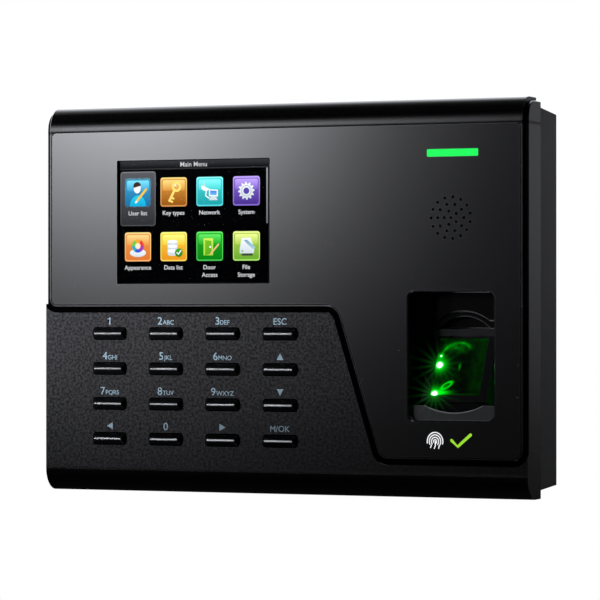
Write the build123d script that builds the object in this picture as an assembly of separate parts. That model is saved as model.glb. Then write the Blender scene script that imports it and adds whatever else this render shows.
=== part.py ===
from build123d import *
import os
from math import cos, radians, sin, tan

# Wall-mounted fingerprint scanner terminal with a keypad and a colour display.
# Millimetres, +Z up, +X to the right as seen from the front. The front faces -Y.
# The origin is the centre of the wall plate's rear face, on the wall (y = 0).
# Depths are counted rearwards from the front face, which stands at y = -DEPTH.

# ---- Outer casing -------------------------------------------------------------------------
WIDTH = 186.34
HEIGHT = 140.0
DEPTH = 40.0
COVER_DEPTH = 14.2  # front cover, front face to rear edge
ROLL_R = 8.0  # rounded top and bottom front edges
STEP_DEPTH = 1.6  # groove and rabbet around the raised panel area
STEP_WIDTH = 1.95
COVER_HALF_X_INNER = 90.57
COVER_HALF_Z_INNER = 66.9
SKIN = 2.4  # front skin at the keypad
FLOOR_TOP = 1.75  # ledge under the window panel
FLOOR_BACK = 4.0
CASE_HALF_X = 91.0
CASE_REAR = 39.6
CASE_WALL = 2.2
CASE_TOP = (67.27, 64.97)  # outer height at the front edge and at the rear face
CASE_BOTTOM = (-67.68, -66.14)
CASE_REAR_R = 2.3
TONGUE = 3.0
RECESS_X = 78.0  # recess in the back that takes the wall plate
RECESS_Z = (-60.0, 58.0)
RECESS_FLOOR = (33.3, 35.5)

# ---- Window panel -------------------------------------------------------------------------
PANEL_HALF_X = 90.65
PANEL_TOP = 60.57
PANEL_STEP_Z = -2.1  # lower edge of the left part
PANEL_LOW_Z = -55.55  # lower edge of the right part
PANEL_THICK = 1.55
PANEL_LEAN = 17.12  # the slanted edge leans this many degrees from vertical
PANEL_SLANT_X = 22.54  # slanted edge at the height of the left part's lower edge
RIM = 0.85  # flat border between the panel and the groove
GAP = 0.05
EDGE = 0.2  # broken edges on the casing
PANEL_EDGE = 0.12
FLAT = 0.001  # tolerance when edges are picked by place

# ---- Display ------------------------------------------------------------------------------
DISPLAY = (-64.2, -3.6, 5.2, 50.1)  # clear opening: left, right, low, high
LENS_LIP = 1.4
LENS_STEP = 1.0

# ---- Keypad -------------------------------------------------------------------------------
KEY_X = [-67.0 + 22.46 * n for n in range(4)]
KEY_Z = [-12.67 - 12.7 * n for n in range(4)]
KEY_NAMES = [
    ["key_1", "key_2", "key_3", "key_esc"],
    ["key_4", "key_5", "key_6", "key_up"],
    ["key_7", "key_8", "key_9", "key_down"],
    ["key_left", "key_0", "key_right", "key_ok"],
]
SLOT = (13.2, 4.3, 1.0)  # keypad slot: length, height, corner radius
KEY = (12.9, 4.0, 0.85)
KEY_CREST = (11.4, 1.5, 0.5)
KEY_PROUD = 2.0
KEY_EDGE = 0.2
MEMBRANE = (5.8, 6.8)
DOME_TOP = 4.4

# ---- Finger well and sensor ---------------------------------------------------------------
WELL_X = 64.88
WELL = (48.93, 80.83, -42.74, 2.17, 2.4)  # left, right, low, high, corner radius
WELL_REACH = 24.5  # every edge of the well's mouth is this close to its middle
WELL_EDGE = 0.5
WELL_WALL = 1.5
ARCH_EDGE = 0.3
LIP_EDGE = 0.5
ARCHES = ((13.2, -7.9, -20.15, 15.5), (14.6, -10.7, -19.1, 12.6))  # front, low, centre, radius
DISH = (3.0, 5.6, -16.3, 23.7)  # lip front and rear, centre height, radius
WELL_BACK = (18.5, 20.0)
PLATEN = (18.2, 22.2)  # width and length of the sensor glass
PLATEN_MID = (9.55, -24.1)  # depth and height of the glass centre
PLATEN_LEAN = 27.0  # the glass leans back this much from vertical
HOUSING_HALF_X = 12.1

# ---- Other fittings -----------------------------------------------------------------------
GRILLE = (65.06, 27.89)
GRILLE_PITCH = 2.42
GRILLE_HOLE_R = 0.6
LED_BAR = (56.2, 75.1, 49.3, 51.85)
CASE_SCREWS = [(x, z) for x in (-85.0, 85.0) for z in (-58.0, 58.0)]
INNER_SCREW = (2.3, 1.6, 1.2, 4.4)  # head radius and height, shank radius and length
LCD_SCREWS = [(x, z) for x in (-73.5, 5.7) for z in (4.2, 51.1)]
KEYPAD_SCREWS = [(x, z) for x in (-79.0, 12.8) for z in (-50.0, -9.5)]
GUIDE_SCREWS = [(x, z) for x in (44.6, 85.2) for z in (-36.0, -4.0)]
LED_SCREWS = [(x, 50.6) for x in (49.5, 81.5)]
BOARD_SCREWS = [(x, z) for x in (-74.0, 36.0) for z in (-54.0, 54.0)]
BOARD = (16.0, 17.6)  # main board, front and rear face
CABLE_BAY = (-62.0, 22.0, -54.0, -26.0)
USB = (-57.0, -43.0, 17.6, 24.6)  # left, right, front and rear
FLAP_HINGE = (29.0, -66.45)  # depth and height of the hinge line
TAMPER = (-20.0, 30.0)
RESET = (10.0, 30.0)
WALL_HOLES = [(x, z) for x in (-66.0, 66.0) for z in (-45.0, 45.0)]
WALL_HOLE_R = 2.5
PLATE = (38.5, 40.0)
HOOKS = [(x, z) for x in (-45.0, 45.0) for z in (-14.0, 40.0)]
LIFT = 8.0  # travel that frees the terminal from the plate's hooks
LOCK_DEPTH = 33.0  # depth of the security screw's axis
TAB_Z = (-66.0, -64.5)


def depth(s):
    return s - DEPTH


def slab(face, s0, s1):
    """A face drawn in X and Z, made solid between two depths."""
    return extrude(Plane.XZ.offset(DEPTH - s1) * face, amount=s1 - s0)


def rect(x0, x1, z0, z1, r=0.0):
    shape = RectangleRounded(x1 - x0, z1 - z0, r) if r else Rectangle(x1 - x0, z1 - z0)
    return Pos((x0 + x1) / 2, (z0 + z1) / 2) * shape


def block(x0, x1, z0, z1, s0, s1, r=0.0):
    return slab(rect(x0, x1, z0, z1, r), s0, s1)


def rod(x, z, r, s0, s1):
    return slab(Pos(x, z) * Circle(r), s0, s1)


def rods(places, r, s0, s1):
    return [rod(x, z, r, s0, s1) for x, z in places]


def upright(x, s, r, z0, z1):
    """A cylinder that stands along Z."""
    return Pos(x, depth(s), z0) * extrude(Circle(r), amount=z1 - z0)


def side_slab(face, x0, x1):
    """A face drawn in depth and height, made solid between two X places."""
    return extrude(Plane.YZ.offset(x0) * (Pos(-DEPTH, 0) * face), amount=x1 - x0)


def outline(points):
    return make_face(Polyline(*points, close=True))


def near(point):
    return lambda item: (item.center() - Vector(*point)).length


def edges_at(shape, s):
    """The edges that lie flat at one depth."""
    y = depth(s)

    def flat(edge):
        box = edge.bounding_box()
        return abs(box.min.Y - y) < FLAT and abs(box.max.Y - y) < FLAT

    return shape.edges().filter_by(flat)


def arcs(edges, r):
    return edges.filter_by(lambda edge: edge.geom_type == GeomType.CIRCLE and abs(edge.radius - r) < FLAT)


# ---- Front cover and window panel ---------------------------------------------------------
def panel_face():
    """The stepped panel outline: full width above, the right part running down."""
    slant = tan(radians(PANEL_LEAN)) * (PANEL_STEP_Z - PANEL_LOW_Z)
    foot_x = PANEL_SLANT_X + slant
    face = outline(
        [
            (-PANEL_HALF_X, PANEL_TOP),
            (PANEL_HALF_X, PANEL_TOP),
            (PANEL_HALF_X, PANEL_LOW_Z),
            (foot_x, PANEL_LOW_Z),
            (PANEL_SLANT_X, PANEL_STEP_Z),
            (-PANEL_HALF_X, PANEL_STEP_Z),
        ]
    )
    radii = {
        (-PANEL_HALF_X, PANEL_TOP): 1.8,
        (PANEL_HALF_X, PANEL_TOP): 1.8,
        (PANEL_HALF_X, PANEL_LOW_Z): 2.8,
        (foot_x, PANEL_LOW_Z): 3.2,
        (PANEL_SLANT_X, PANEL_STEP_Z): 6.5,
        (-PANEL_HALF_X, PANEL_STEP_Z): 1.8,
    }
    for (x, z), r in radii.items():
        corner = face.vertices().sort_by(near((x, z, 0)))[0]
        face = fillet(corner, r)
    return face


def raised_face():
    """The raised area that the groove runs around: the panel, its rim, and the top roll."""
    over_top = rect(-PANEL_HALF_X - RIM, PANEL_HALF_X + RIM, PANEL_TOP - 20, HEIGHT / 2 + 5)
    return offset(panel_face(), RIM) + over_top


def cover_profile(inset, rear):
    half = HEIGHT / 2 - inset
    face = outline([(inset, -half), (rear, -half), (rear, half), (inset, half)])
    corners = face.vertices().sort_by(Axis.X)[:2]
    return fillet(corners, ROLL_R - inset)


def cover_shell():
    half = WIDTH / 2
    full = side_slab(cover_profile(0, COVER_DEPTH), -half, half)
    stepped = side_slab(cover_profile(STEP_DEPTH, COVER_DEPTH + 1), -half - 1, half + 1)
    raised = raised_face()
    band = slab(offset(raised, STEP_WIDTH) - raised, -1, COVER_DEPTH + 1)
    return full - (band - stepped)


def cover_cavity():
    def inner(front):
        z = COVER_HALF_Z_INNER
        face = outline([(front, -z), (20, -z), (20, z), (front, z)])
        return fillet(face.vertices().sort_by(Axis.X)[:2], 4.5)

    x = COVER_HALF_X_INNER
    behind_keys = side_slab(inner(SKIN), -x, x)
    behind_panel = side_slab(inner(FLOOR_BACK), -x, x)
    thick_floor = slab(offset(panel_face(), 2.0), 0, FLOOR_BACK)
    return (behind_keys - thick_floor) + behind_panel


def well_face(grow):
    x0, x1, z0, z1, r = WELL
    return rect(x0 - grow, x1 + grow, z0 - grow, z1 + grow, r + grow)


def front_cover():
    cover = cover_shell() - cover_cavity()
    for places, front, back in (
        (CASE_SCREWS, SKIN, COVER_DEPTH - 0.2),
        (LCD_SCREWS, FLOOR_BACK - 0.5, 5.9),
        (GUIDE_SCREWS, FLOOR_BACK - 0.5, 5.9),
        (LED_SCREWS, FLOOR_BACK - 0.5, 6.6),
        (KEYPAD_SCREWS, SKIN - 0.5, MEMBRANE[1]),
    ):
        r = 3.5 if places is CASE_SCREWS else 2.5
        for post in rods(places, r, front, back):
            cover += post
    cover -= slab(offset(panel_face(), GAP), -1, FLOOR_TOP)
    x0, x1, z0, z1 = DISPLAY
    cover -= block(x0 - 3.3, x1 + 3.3, z0 - 2.8, z1 + 2.8, 0, FLOOR_BACK + 1)
    cover -= slab(well_face(WELL_WALL + 0.15), 0, FLOOR_BACK + 1)
    cover -= rod(*GRILLE, 8.8, 0, FLOOR_BACK + 1)
    x0, x1, z0, z1 = LED_BAR
    cover -= block(x0 - GAP, x1 + GAP, z0 - GAP, z1 + GAP, 0, FLOOR_BACK + 1)
    for x in KEY_X:
        for z in KEY_Z:
            slot = Pos(x, z) * RectangleRounded(*SLOT)
            cover -= slab(slot, -1, SKIN + 1)
    for places, front, back in (
        (CASE_SCREWS, 6.0, COVER_DEPTH),
        (LCD_SCREWS, 2.6, 6.0),
        (GUIDE_SCREWS, 2.6, 6.0),
        (LED_SCREWS, 3.0, 7.0),
        (KEYPAD_SCREWS, 3.6, 7.0),
    ):
        r = 1.55 if places is CASE_SCREWS else INNER_SCREW[2] + 0.05
        for hole in rods(places, r, front, back):
            cover -= hole
    cover = chamfer(edges_at(cover, 0), EDGE)

    def side_arc(edge):
        return edge.geom_type == GeomType.CIRCLE and abs(abs(edge.center().X) - WIDTH / 2) < FLAT

    return chamfer(cover.edges().filter_by(side_arc), EDGE)


def window_panel():
    panel = slab(panel_face(), 0, PANEL_THICK)
    panel = chamfer(edges_at(panel, 0), PANEL_EDGE)
    x0, x1, z0, z1 = DISPLAY
    panel -= block(x0, x1, z0, z1, -1, PANEL_THICK + 1, 0.6)
    grow = LENS_LIP + GAP
    panel -= block(x0 - grow, x1 + grow, z0 - grow, z1 + grow, LENS_STEP, PANEL_THICK + 1, 1.0)
    panel -= slab(well_face(0), -1, PANEL_THICK + 1)
    mouth = edges_at(panel, 0).filter_by(lambda edge: near((WELL_X, -DEPTH, -20.3))(edge) < WELL_REACH)
    panel = chamfer(mouth, WELL_EDGE)
    x0, x1, z0, z1 = LED_BAR
    panel -= block(x0 - GAP, x1 + GAP, z0 - GAP, z1 + GAP, -1, PANEL_THICK + 1, 0.3)
    holes = Pos(*GRILLE) * Circle(GRILLE_HOLE_R)
    for ring in (1, 2, 3):
        for n in range(5 * ring):
            turn = radians(180 + 72 * n / ring)
            x = GRILLE[0] + GRILLE_PITCH * ring * cos(turn)
            z = GRILLE[1] + GRILLE_PITCH * ring * sin(turn)
            holes += Pos(x, z) * Circle(GRILLE_HOLE_R)
    return panel - slab(holes, -1, PANEL_THICK + 1)


def panel_adhesive():
    """Double-sided tape between the panel and its ledge, open behind every window."""
    tape = slab(offset(panel_face(), -0.4), PANEL_THICK, FLOOR_TOP)
    x0, x1, z0, z1 = DISPLAY
    tape -= block(x0 - 3.3, x1 + 3.3, z0 - 2.8, z1 + 2.8, 0, FLOOR_BACK)
    tape -= slab(well_face(0.3), 0, FLOOR_BACK)
    tape -= rod(*GRILLE, 8.8, 0, FLOOR_BACK)
    x0, x1, z0, z1 = LED_BAR
    return tape - block(x0 - 0.4, x1 + 0.4, z0 - 0.4, z1 + 0.4, 0, FLOOR_BACK)


# ---- Display ------------------------------------------------------------------------------
def display_lens():
    x0, x1, z0, z1 = DISPLAY
    front = block(x0 + GAP, x1 - GAP, z0 + GAP, z1 - GAP, 0, PANEL_THICK, 0.55)
    lip = LENS_LIP
    return front + block(x0 - lip, x1 + lip, z0 - lip, z1 + lip, LENS_STEP + GAP, PANEL_THICK, 0.95)


def display_box(grow, s0, s1, r=0.0):
    x0, x1, z0, z1 = DISPLAY
    return block(x0 - grow, x1 + grow, z0 - grow, z1 + grow, s0, s1, r)


def lcd_glass():
    return display_box(1.9, 2.2, 3.6)


def backlight():
    return display_box(1.9, 3.7, 5.2)


def lcd_frame():
    """Folded steel tray around the display cell and its backlight."""
    tray = display_box(2.5, 1.8, 5.7, 0.5) - display_box(2.0, 2.15, 5.3)
    return tray - display_box(0.3, 1, 3)


def lcd_bracket():
    x0, x1, z0, z1 = DISPLAY
    bracket = block(x0 - 7, x1 + 7, z0 - 4, z1 + 4, 5.9, 7.4, 2.0)
    for ear in rods(LCD_SCREWS, 3.4, 5.9, 7.4):
        bracket += ear
    bracket -= block(x0 + 4, x1 - 4, z0 + 3, z1 - 3, 5, 8, 2.0)
    for hole in rods(LCD_SCREWS, 1.4, 5, 8):
        bracket -= hole
    return bracket


# ---- Keypad -------------------------------------------------------------------------------
def keycap(x, z):
    """A raised bar with sloping flanks, on a flange that can't pass the slot."""
    length, height, r = KEY
    stalk = slab(Pos(x, z) * RectangleRounded(length, height, r), -0.35, SKIN + 0.2)
    foot = Plane.XZ.offset(DEPTH + 0.35) * (Pos(x, z) * RectangleRounded(length, height, r))
    crest = Plane.XZ.offset(DEPTH + KEY_PROUD) * (Pos(x, z) * RectangleRounded(*KEY_CREST))
    flange = block(x - 7.4, x + 7.4, z - 3.0, z + 3.0, SKIN + 0.1, SKIN + 0.9, 1.0)
    stem = rod(x, z, 1.9, SKIN + 0.9, DOME_TOP)
    bar = loft([foot.face(), crest.face()])
    bar = fillet(edges_at(bar, -KEY_PROUD), KEY_EDGE)
    return bar + stalk + flange + stem


def key_membrane():
    top, back = MEMBRANE
    sheet = block(KEY_X[0] - 9, KEY_X[3] + 9, KEY_Z[3] - 5.5, KEY_Z[0] + 5.5, top, back, 2.0)
    for x in KEY_X:
        for z in KEY_Z:
            foot = Plane.XZ.offset(DEPTH - top - 0.2) * (Pos(x, z) * Circle(3.6))
            head = Plane.XZ.offset(DEPTH - DOME_TOP) * (Pos(x, z) * Circle(2.2))
            sheet += loft([foot.face(), head.face()])
            sheet -= rod(x, z, 2.6, top + 0.1, back + 1)
            sheet -= rod(x, z, 1.7, DOME_TOP + 0.7, back)
    return sheet


def keypad_board():
    back = MEMBRANE[1]
    board = block(-81.3, 16.3, -61.5, -6, back, back + 1.6, 1.5)
    for hole in rods(KEYPAD_SCREWS, 1.4, back - 1, back + 3):
        board -= hole
    return board


# ---- Finger well and optical sensor -------------------------------------------------------
def platen_plane():
    lean = radians(PLATEN_LEAN)
    s, z = PLATEN_MID
    return Plane(origin=(WELL_X, depth(s), z), x_dir=(1, 0, 0), z_dir=(0, -cos(lean), sin(lean)))


def finger_guide():
    """The moulded well: a tube, a stepped fingertip arch, and a dished lip at the bottom."""
    x0, x1, z0, z1, _ = WELL
    mid = WELL_X
    back0, back1 = WELL_BACK
    tube = slab(well_face(WELL_WALL), FLOOR_TOP, back1) - slab(well_face(0), 0, back0)
    flange = block(x0 - 6.8, x1 + 6.8, z0 - 3.5, z1 + 3.5, 5.9, 7.4, 3.0)
    guide = tube + (flange - slab(well_face(0), 5, 8))
    inside = slab(well_face(0.2), 0, back0 + 0.2)
    for front, low, centre, r in ARCHES:
        brow = block(x0 - 1, x1 + 1, low, z1 + 1, front, back0 + 0.2)
        brow -= rod(mid, centre, r, front - 1, back0)
        guide += brow & inside
    lip_front, lip_back, centre, r = DISH
    lip = block(x0 - 1, x1 + 1, z0 - 1, -37.5, lip_front, lip_back)
    lip -= rod(mid, centre, r, lip_front - 1, lip_back + 1)
    guide += lip & inside
    guide = fillet(arcs(edges_at(guide, lip_front), r), LIP_EDGE)
    for front, _, _, r in ARCHES:
        guide = fillet(arcs(edges_at(guide, front), r), ARCH_EDGE)
    opening = block(mid - HOUSING_HALF_X - 0.2, mid + HOUSING_HALF_X + 0.2, z0, -10.6, back0 - 1, 21)
    guide -= opening
    for hole in rods(GUIDE_SCREWS, 1.4, 5, 8):
        guide -= hole
    return guide


def sensor_housing():
    side = outline(
        [
            (3.0, -36.2),
            (14.6, -13.4),
            (14.6, -10.9),
            (30.0, -10.9),
            (30.0, -42.4),
            (9.0, -42.4),
            (6.6, -36.9),
        ]
    )
    half = HOUSING_HALF_X
    housing = side_slab(side, WELL_X - half, WELL_X + half)
    plane = platen_plane()
    width, length = PLATEN
    housing -= extrude(plane * Rectangle(width + 0.1, length + 0.1), amount=3)
    housing -= extrude(plane * Rectangle(width + 0.1, length + 0.1), amount=-6.1)
    housing -= extrude(plane * Rectangle(width - 2, length - 3), amount=-16)
    housing -= block(WELL_X - 8, WELL_X + 8, -39, -14, 22, 31)
    return housing


def sensor_prism():
    return extrude(platen_plane() * Rectangle(*PLATEN), amount=-6)


def sensor_leds():
    """Green illuminators behind the left and right edges of the prism."""
    leds = []
    for side in (-1, 1):
        for along in (-6.0, 4.5):
            seat = platen_plane() * Pos(6.6 * side, along, -8.2)
            leds.append(seat * Box(2.0, 3.0, 2.0))
    return leds


def sensor_lens():
    barrel = rod(WELL_X, -26.5, 5.0, 24.5, 29.8)
    return barrel - rod(WELL_X, -26.5, 3.4, 24, 25.3)


def sensor_board():
    return block(51, 79, -44, -9.5, 30.2, 31.8, 1.0)


# ---- Sound and status light ---------------------------------------------------------------
def speaker():
    x, z = GRILLE
    basket = rod(x, z, 10.5, 4.7, 7.2) + rod(x, z, 7.5, 7.2, 9.8)
    return basket - rod(x, z, 8.0, 4, 5.4)


def speaker_gasket():
    return rod(*GRILLE, 10.5, FLOOR_BACK, 4.7) - rod(*GRILLE, 8.6, 3, 6)


def led_light_pipe():
    x0, x1, z0, z1 = LED_BAR
    bar = block(x0, x1, z0, z1, 0, FLOOR_BACK, 0.25)
    return bar + block(x0 - 1.5, x1 + 1.5, z0 - 1.6, z1 + 1.6, FLOOR_BACK, 5.0, 0.8)


def status_leds():
    return [block(x - 1.4, x + 1.4, 49.2, 52.0, 5.6, 6.6) for x in (59.2, 65.65, 72.1)]


def led_board():
    board = block(46.8, 84.2, 47.4, 53.8, 6.6, 7.8, 1.0)
    for hole in rods(LED_SCREWS, 1.4, 6, 9):
        board -= hole
    return board


# ---- Main board and what it carries -------------------------------------------------------
def main_board():
    front, back = BOARD
    board = block(-80, 42, -62.5, 60, front, back, 2.0)
    for hole in rods(BOARD_SCREWS, 1.4, front - 1, back + 1):
        board -= hole
    return board


def processor():
    return block(-8, 12, -7, 13, BOARD[1], 19.4, 0.4)


def coin_cell():
    """Clock battery with two welded tabs that stand on the board."""
    back = BOARD[1]
    cell = rod(-56, 36, 10.0, back + 0.6, back + 3.8)
    cell += block(-58, -54, 22, 27, back + 0.4, back + 0.6)
    cell += block(-58, -54, 22, 23, back, back + 0.6)
    return cell + block(-58, -54, 45, 49, back, back + 0.7)


def battery():
    pack = block(49, 82, 9, 44, 21, 31)
    return fillet(pack.edges().filter_by(Axis.X), 3.0)


def ethernet_jack():
    jack = block(-36, -20, -50, -34, BOARD[1], 31.0)
    jack -= block(-34, -22, -48.5, -39.0, 19, 32)
    return jack - block(-31, -25, -39.5, -37, 19, 32)


def terminal_block():
    """Screw terminals: one wire entry for each way, facing the back."""
    strip = block(-15, 20, -50, -39, BOARD[1], 28.0)
    for n in range(7):
        x = -12.5 + 5.0 * n
        strip -= block(x - 1.7, x + 1.7, -48.6, -45.2, 20, 29)
        strip -= rod(x, -42.3, 1.6, 24, 29)
    return strip


def power_jack():
    jack = block(-58, -47.5, -44.5, -34, BOARD[1], 29.0)
    jack -= rod(-52.75, -39.25, 3.2, 20, 30)
    return jack + rod(-52.75, -39.25, 1.0, 19.5, 28.5)


def usb_port():
    x0, x1, s0, s1 = USB
    shell = block(x0, x1, -63.2, -49, s0, s1)
    shell -= block(x0 + 0.5, x1 - 0.5, -64, -51, s0 + 0.6, s1 - 0.6)
    return shell + block(x0 + 1.2, x1 - 1.2, -62.4, -50.5, s0 + 0.4, s0 + 2.6)


def ribbon(x0, x1, z, s0, s1, foot0, foot1):
    """A flat cable that leaves one board, crosses the gap and lands on the next."""
    thick = 0.2
    strip = block(x0, x1, z, z + thick, s0, s1)
    strip += block(x0, x1, z - foot0, z + thick, s0, s0 + thick)
    return strip + block(x0, x1, z, z + thick + foot1, s1 - thick, s1)


def lcd_flex():
    return ribbon(-45, -22, 14.0, 5.75, BOARD[0] - 0.05, 4.0, 4.0)


def keypad_flex():
    return ribbon(-60, -45, -30.0, MEMBRANE[1] + 1.65, BOARD[0] - 0.05, 5.0, 4.0)


def sensor_cable():
    """Flat cable that wraps round the board's edge to the back of the sensor board."""
    cable = block(37, 45, -42, -32, 17.7, 18.0)
    cable += block(44.7, 45, -42, -32, 17.7, 32.3)
    return cable + block(44.7, 56, -42, -32, 32.0, 32.3)


def speaker_cable():
    path = FilletPolyline(
        (GRILLE[0], depth(9.9), 22.0),
        (GRILLE[0], depth(13.0), 22.0),
        (38.0, depth(13.0), 22.0),
        (38.0, depth(BOARD[0] - 0.1), 22.0),
        radius=1.5,
    )
    return sweep(Plane(path @ 0, z_dir=path % 0) * Circle(0.8), path)


def tamper_switch():
    x, z = TAMPER
    body = block(x - 4, x + 4, z - 4, z + 4, BOARD[1], 26.9)
    return body - rod(x, z, 2.1, 25.8, 28)


def tamper_plunger():
    x, z = TAMPER
    return rod(x, z, 2.0, 27.0, PLATE[0] - GAP) + rod(x, z, 3.0, 28.0, 29.0)


def reset_switch():
    x, z = RESET
    return block(x - 3, x + 3, z - 3, z + 3, BOARD[1], 20.6) + rod(x, z, 1.75, 20.5, 21.0)


def reset_button():
    x, z = RESET
    return rod(x, z, 1.5, 21.4, 35.2) + rod(x, z, 2.4, 31.5, 32.5)


# ---- Rear case ----------------------------------------------------------------------------
def case_profile(inset, front, rear):
    def between(ends, s):
        share = (s - COVER_DEPTH) / (CASE_REAR - COVER_DEPTH)
        return ends[0] + (ends[1] - ends[0]) * share

    top0, top1 = (between(CASE_TOP, s) - inset for s in (front, rear))
    low0, low1 = (between(CASE_BOTTOM, s) + inset for s in (front, rear))
    return outline([(front, low0), (rear, low1), (rear, top1), (front, top0)])


def case_body():
    solid = side_slab(case_profile(0, COVER_DEPTH, CASE_REAR), -CASE_HALF_X, CASE_HALF_X)
    solid = fillet(solid.faces().sort_by(Axis.Y)[-1].edges(), CASE_REAR_R)
    half = CASE_HALF_X - CASE_WALL
    hollow = side_slab(case_profile(CASE_WALL, COVER_DEPTH - 1, CASE_REAR - CASE_WALL), -half, half)
    low, high = RECESS_Z
    wall = CASE_WALL
    kept = block(-RECESS_X - wall, RECESS_X + wall, low - wall, high + wall, RECESS_FLOOR[0], 45)
    solid -= hollow - kept
    recess = block(-RECESS_X, RECESS_X, low, high, RECESS_FLOOR[1], 45, 3.0)
    return solid - recess


def tongue():
    x, z, s = COVER_HALF_X_INNER - 0.15, COVER_HALF_Z_INNER - 0.15, COVER_DEPTH
    ring = block(-x, x, -z, z, s - TONGUE, s + 0.8)
    return ring - block(-x + 1.6, x - 1.6, -z + 1.6, z - 1.6, s - 5, s + 5)


def lock_block():
    """Solid block above the notch, holding the insert for the security screw."""
    return block(-9, 9, -64.3, -56, 28.0, RECESS_FLOOR[0] + 4)


def rear_case():
    case = case_body() + tongue() + lock_block()
    for tube in rods(CASE_SCREWS, 4.5, COVER_DEPTH, CASE_REAR - 1.5):
        case += tube
    for post in rods(BOARD_SCREWS, 3.5, BOARD[1], RECESS_FLOOR[0] + 0.5):
        case += post
    for hole in rods(CASE_SCREWS, 3.1, 17.5, 45):
        case -= hole
    for hole in rods(CASE_SCREWS, 1.7, 10, 20):
        case -= hole
    for hole in rods(BOARD_SCREWS, INNER_SCREW[2] + 0.05, BOARD[1] - 1, 24):
        case -= hole
    x0, x1, z0, z1 = CABLE_BAY
    case -= block(x0, x1, z0, z1, 30, 40, 2.5)
    case -= rod(*TAMPER, 2.2, 30, 40)
    case -= rod(*RESET, 1.7, 33, 40)
    for x, z in HOOKS:
        case -= block(x - 4.6, x + 4.6, z + 1.6 - LIFT - 1.7, z + 1.6, 33, 40)
    case -= block(-11, 11, -75, RECESS_Z[0] + 1, RECESS_FLOOR[1], 45)
    case -= block(-11, 11, -75, -64.3, 27.5, 45)
    case -= upright(0, LOCK_DEPTH, 1.7, -66, -57)
    case -= upright(0, LOCK_DEPTH, 2.55, -64.1, -58)
    return usb_bay(case)


def usb_bay(case):
    """The flap's shallow pocket in the case's underside, and the port's opening in it."""
    x0, x1, s0, s1 = USB
    case += block(x0 - 5, x1 + 5, -66, -63.6, COVER_DEPTH + 0.6, 31)
    case -= block(x0 - 4, x1 + 4, -70, -65.8, 15.8, 30)
    return case - block(x0 - 0.6, x1 + 0.6, -70, -60, s0 - 0.3, s1 + 0.6)


def usb_cover():
    """Rubber flap with a thumb notch, a plug pad and a rolled hinge edge."""
    x0, x1, s0, s1 = USB
    s_hinge, z_hinge = FLAP_HINGE
    r = 0.6
    flap = block(x0 - 3.6, x1 + 3.6, z_hinge - r, z_hinge + r, 16.4, s_hinge)
    barrel = Plane.YZ.offset(x0 - 3.6) * (Pos(depth(s_hinge), z_hinge) * Circle(r))
    flap += extrude(barrel, amount=x1 - x0 + 7.2)
    x_mid = (x0 + x1) / 2
    flap -= upright(x_mid, 15.6, 2.4, z_hinge - 2, z_hinge - 0.1)
    return flap


def insert_nut():
    return upright(0, LOCK_DEPTH, 2.5, -64.0, -58.1) - upright(0, LOCK_DEPTH, 1.55, -65, -57)


# ---- Wall plate and fasteners -------------------------------------------------------------
def hook(x, z):
    """A pressed hook: a neck through the case's slot and an upright lip behind its floor."""
    lip_front, lip_back = RECESS_FLOOR[0] - 2.0, RECESS_FLOOR[0] - 0.5
    neck = block(x - 4, x + 4, z, z + 1.5, lip_front, PLATE[0] + 0.2)
    return neck + block(x - 4, x + 4, z, z + 1.5 + 6.0, lip_front, lip_back)


def wall_plate():
    front, back = PLATE
    plate = block(-74, 74, RECESS_Z[0] + LIFT + 0.5, 55, front, back, 5.0)
    plate += block(-10, 10, TAB_Z[0], -50, front, back)
    plate += block(-10, 10, *TAB_Z, 28.5, back)
    for x, z in HOOKS:
        plate += hook(x, z)
    for hole in rods(WALL_HOLES, WALL_HOLE_R, front - 1, back + 1):
        plate -= hole
    x0, x1, z0, z1 = CABLE_BAY
    plate -= block(x0 + 4, x1 - 4, z0 + 7.5, z1 - 2, front - 1, back + 1, 4.0)
    plate -= block(-34, 34, 6, 22, front - 1, back + 1, 4.0)
    return plate - upright(0, LOCK_DEPTH, 1.7, -70, -60)


def security_screw():
    head = upright(0, LOCK_DEPTH, 2.75, -68.0, -66.05)
    socket = Pos(0, depth(LOCK_DEPTH), -69) * extrude(RegularPolygon(1.3, 6), amount=2.2)
    return head + upright(0, LOCK_DEPTH, 1.5, -66.1, -58.5) - socket


def cross_recess(x, z, s_face, into):
    """The tool recess in a screw head. into is the direction of the screw, +1 rearwards."""
    s0, s1 = sorted((s_face - 0.1 * into, s_face + 1.0 * into))
    return block(x - 0.35, x + 0.35, z - 1.4, z + 1.4, s0, s1) + block(
        x - 1.4, x + 1.4, z - 0.35, z + 0.35, s0, s1
    )


def case_screws():
    screws = []
    for x, z in CASE_SCREWS:
        screw = rod(x, z, 2.8, 17.5, 19.7) + rod(x, z, 1.5, 7.0, 17.6)
        screws.append(screw - cross_recess(x, z, 19.7, -1))
    return screws


def inner_screw(x, z, seat, into):
    """One small screw. seat is the depth of the face under its head."""
    head_r, head_h, shank_r, shank_l = INNER_SCREW
    head = sorted((seat, seat - head_h * into))
    shank = sorted((seat - 0.1 * into, seat + shank_l * into))
    screw = rod(x, z, head_r, *head) + rod(x, z, shank_r, *shank)
    return screw - cross_recess(x, z, seat - head_h * into, into)


def inner_screws():
    groups = (
        (LCD_SCREWS, 7.4, -1),
        (GUIDE_SCREWS, 7.4, -1),
        (LED_SCREWS, 7.8, -1),
        (KEYPAD_SCREWS, MEMBRANE[1] + 1.6, -1),
        (BOARD_SCREWS, BOARD[0], 1),
    )
    return [inner_screw(x, z, seat, into) for places, seat, into in groups for x, z in places]


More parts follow.
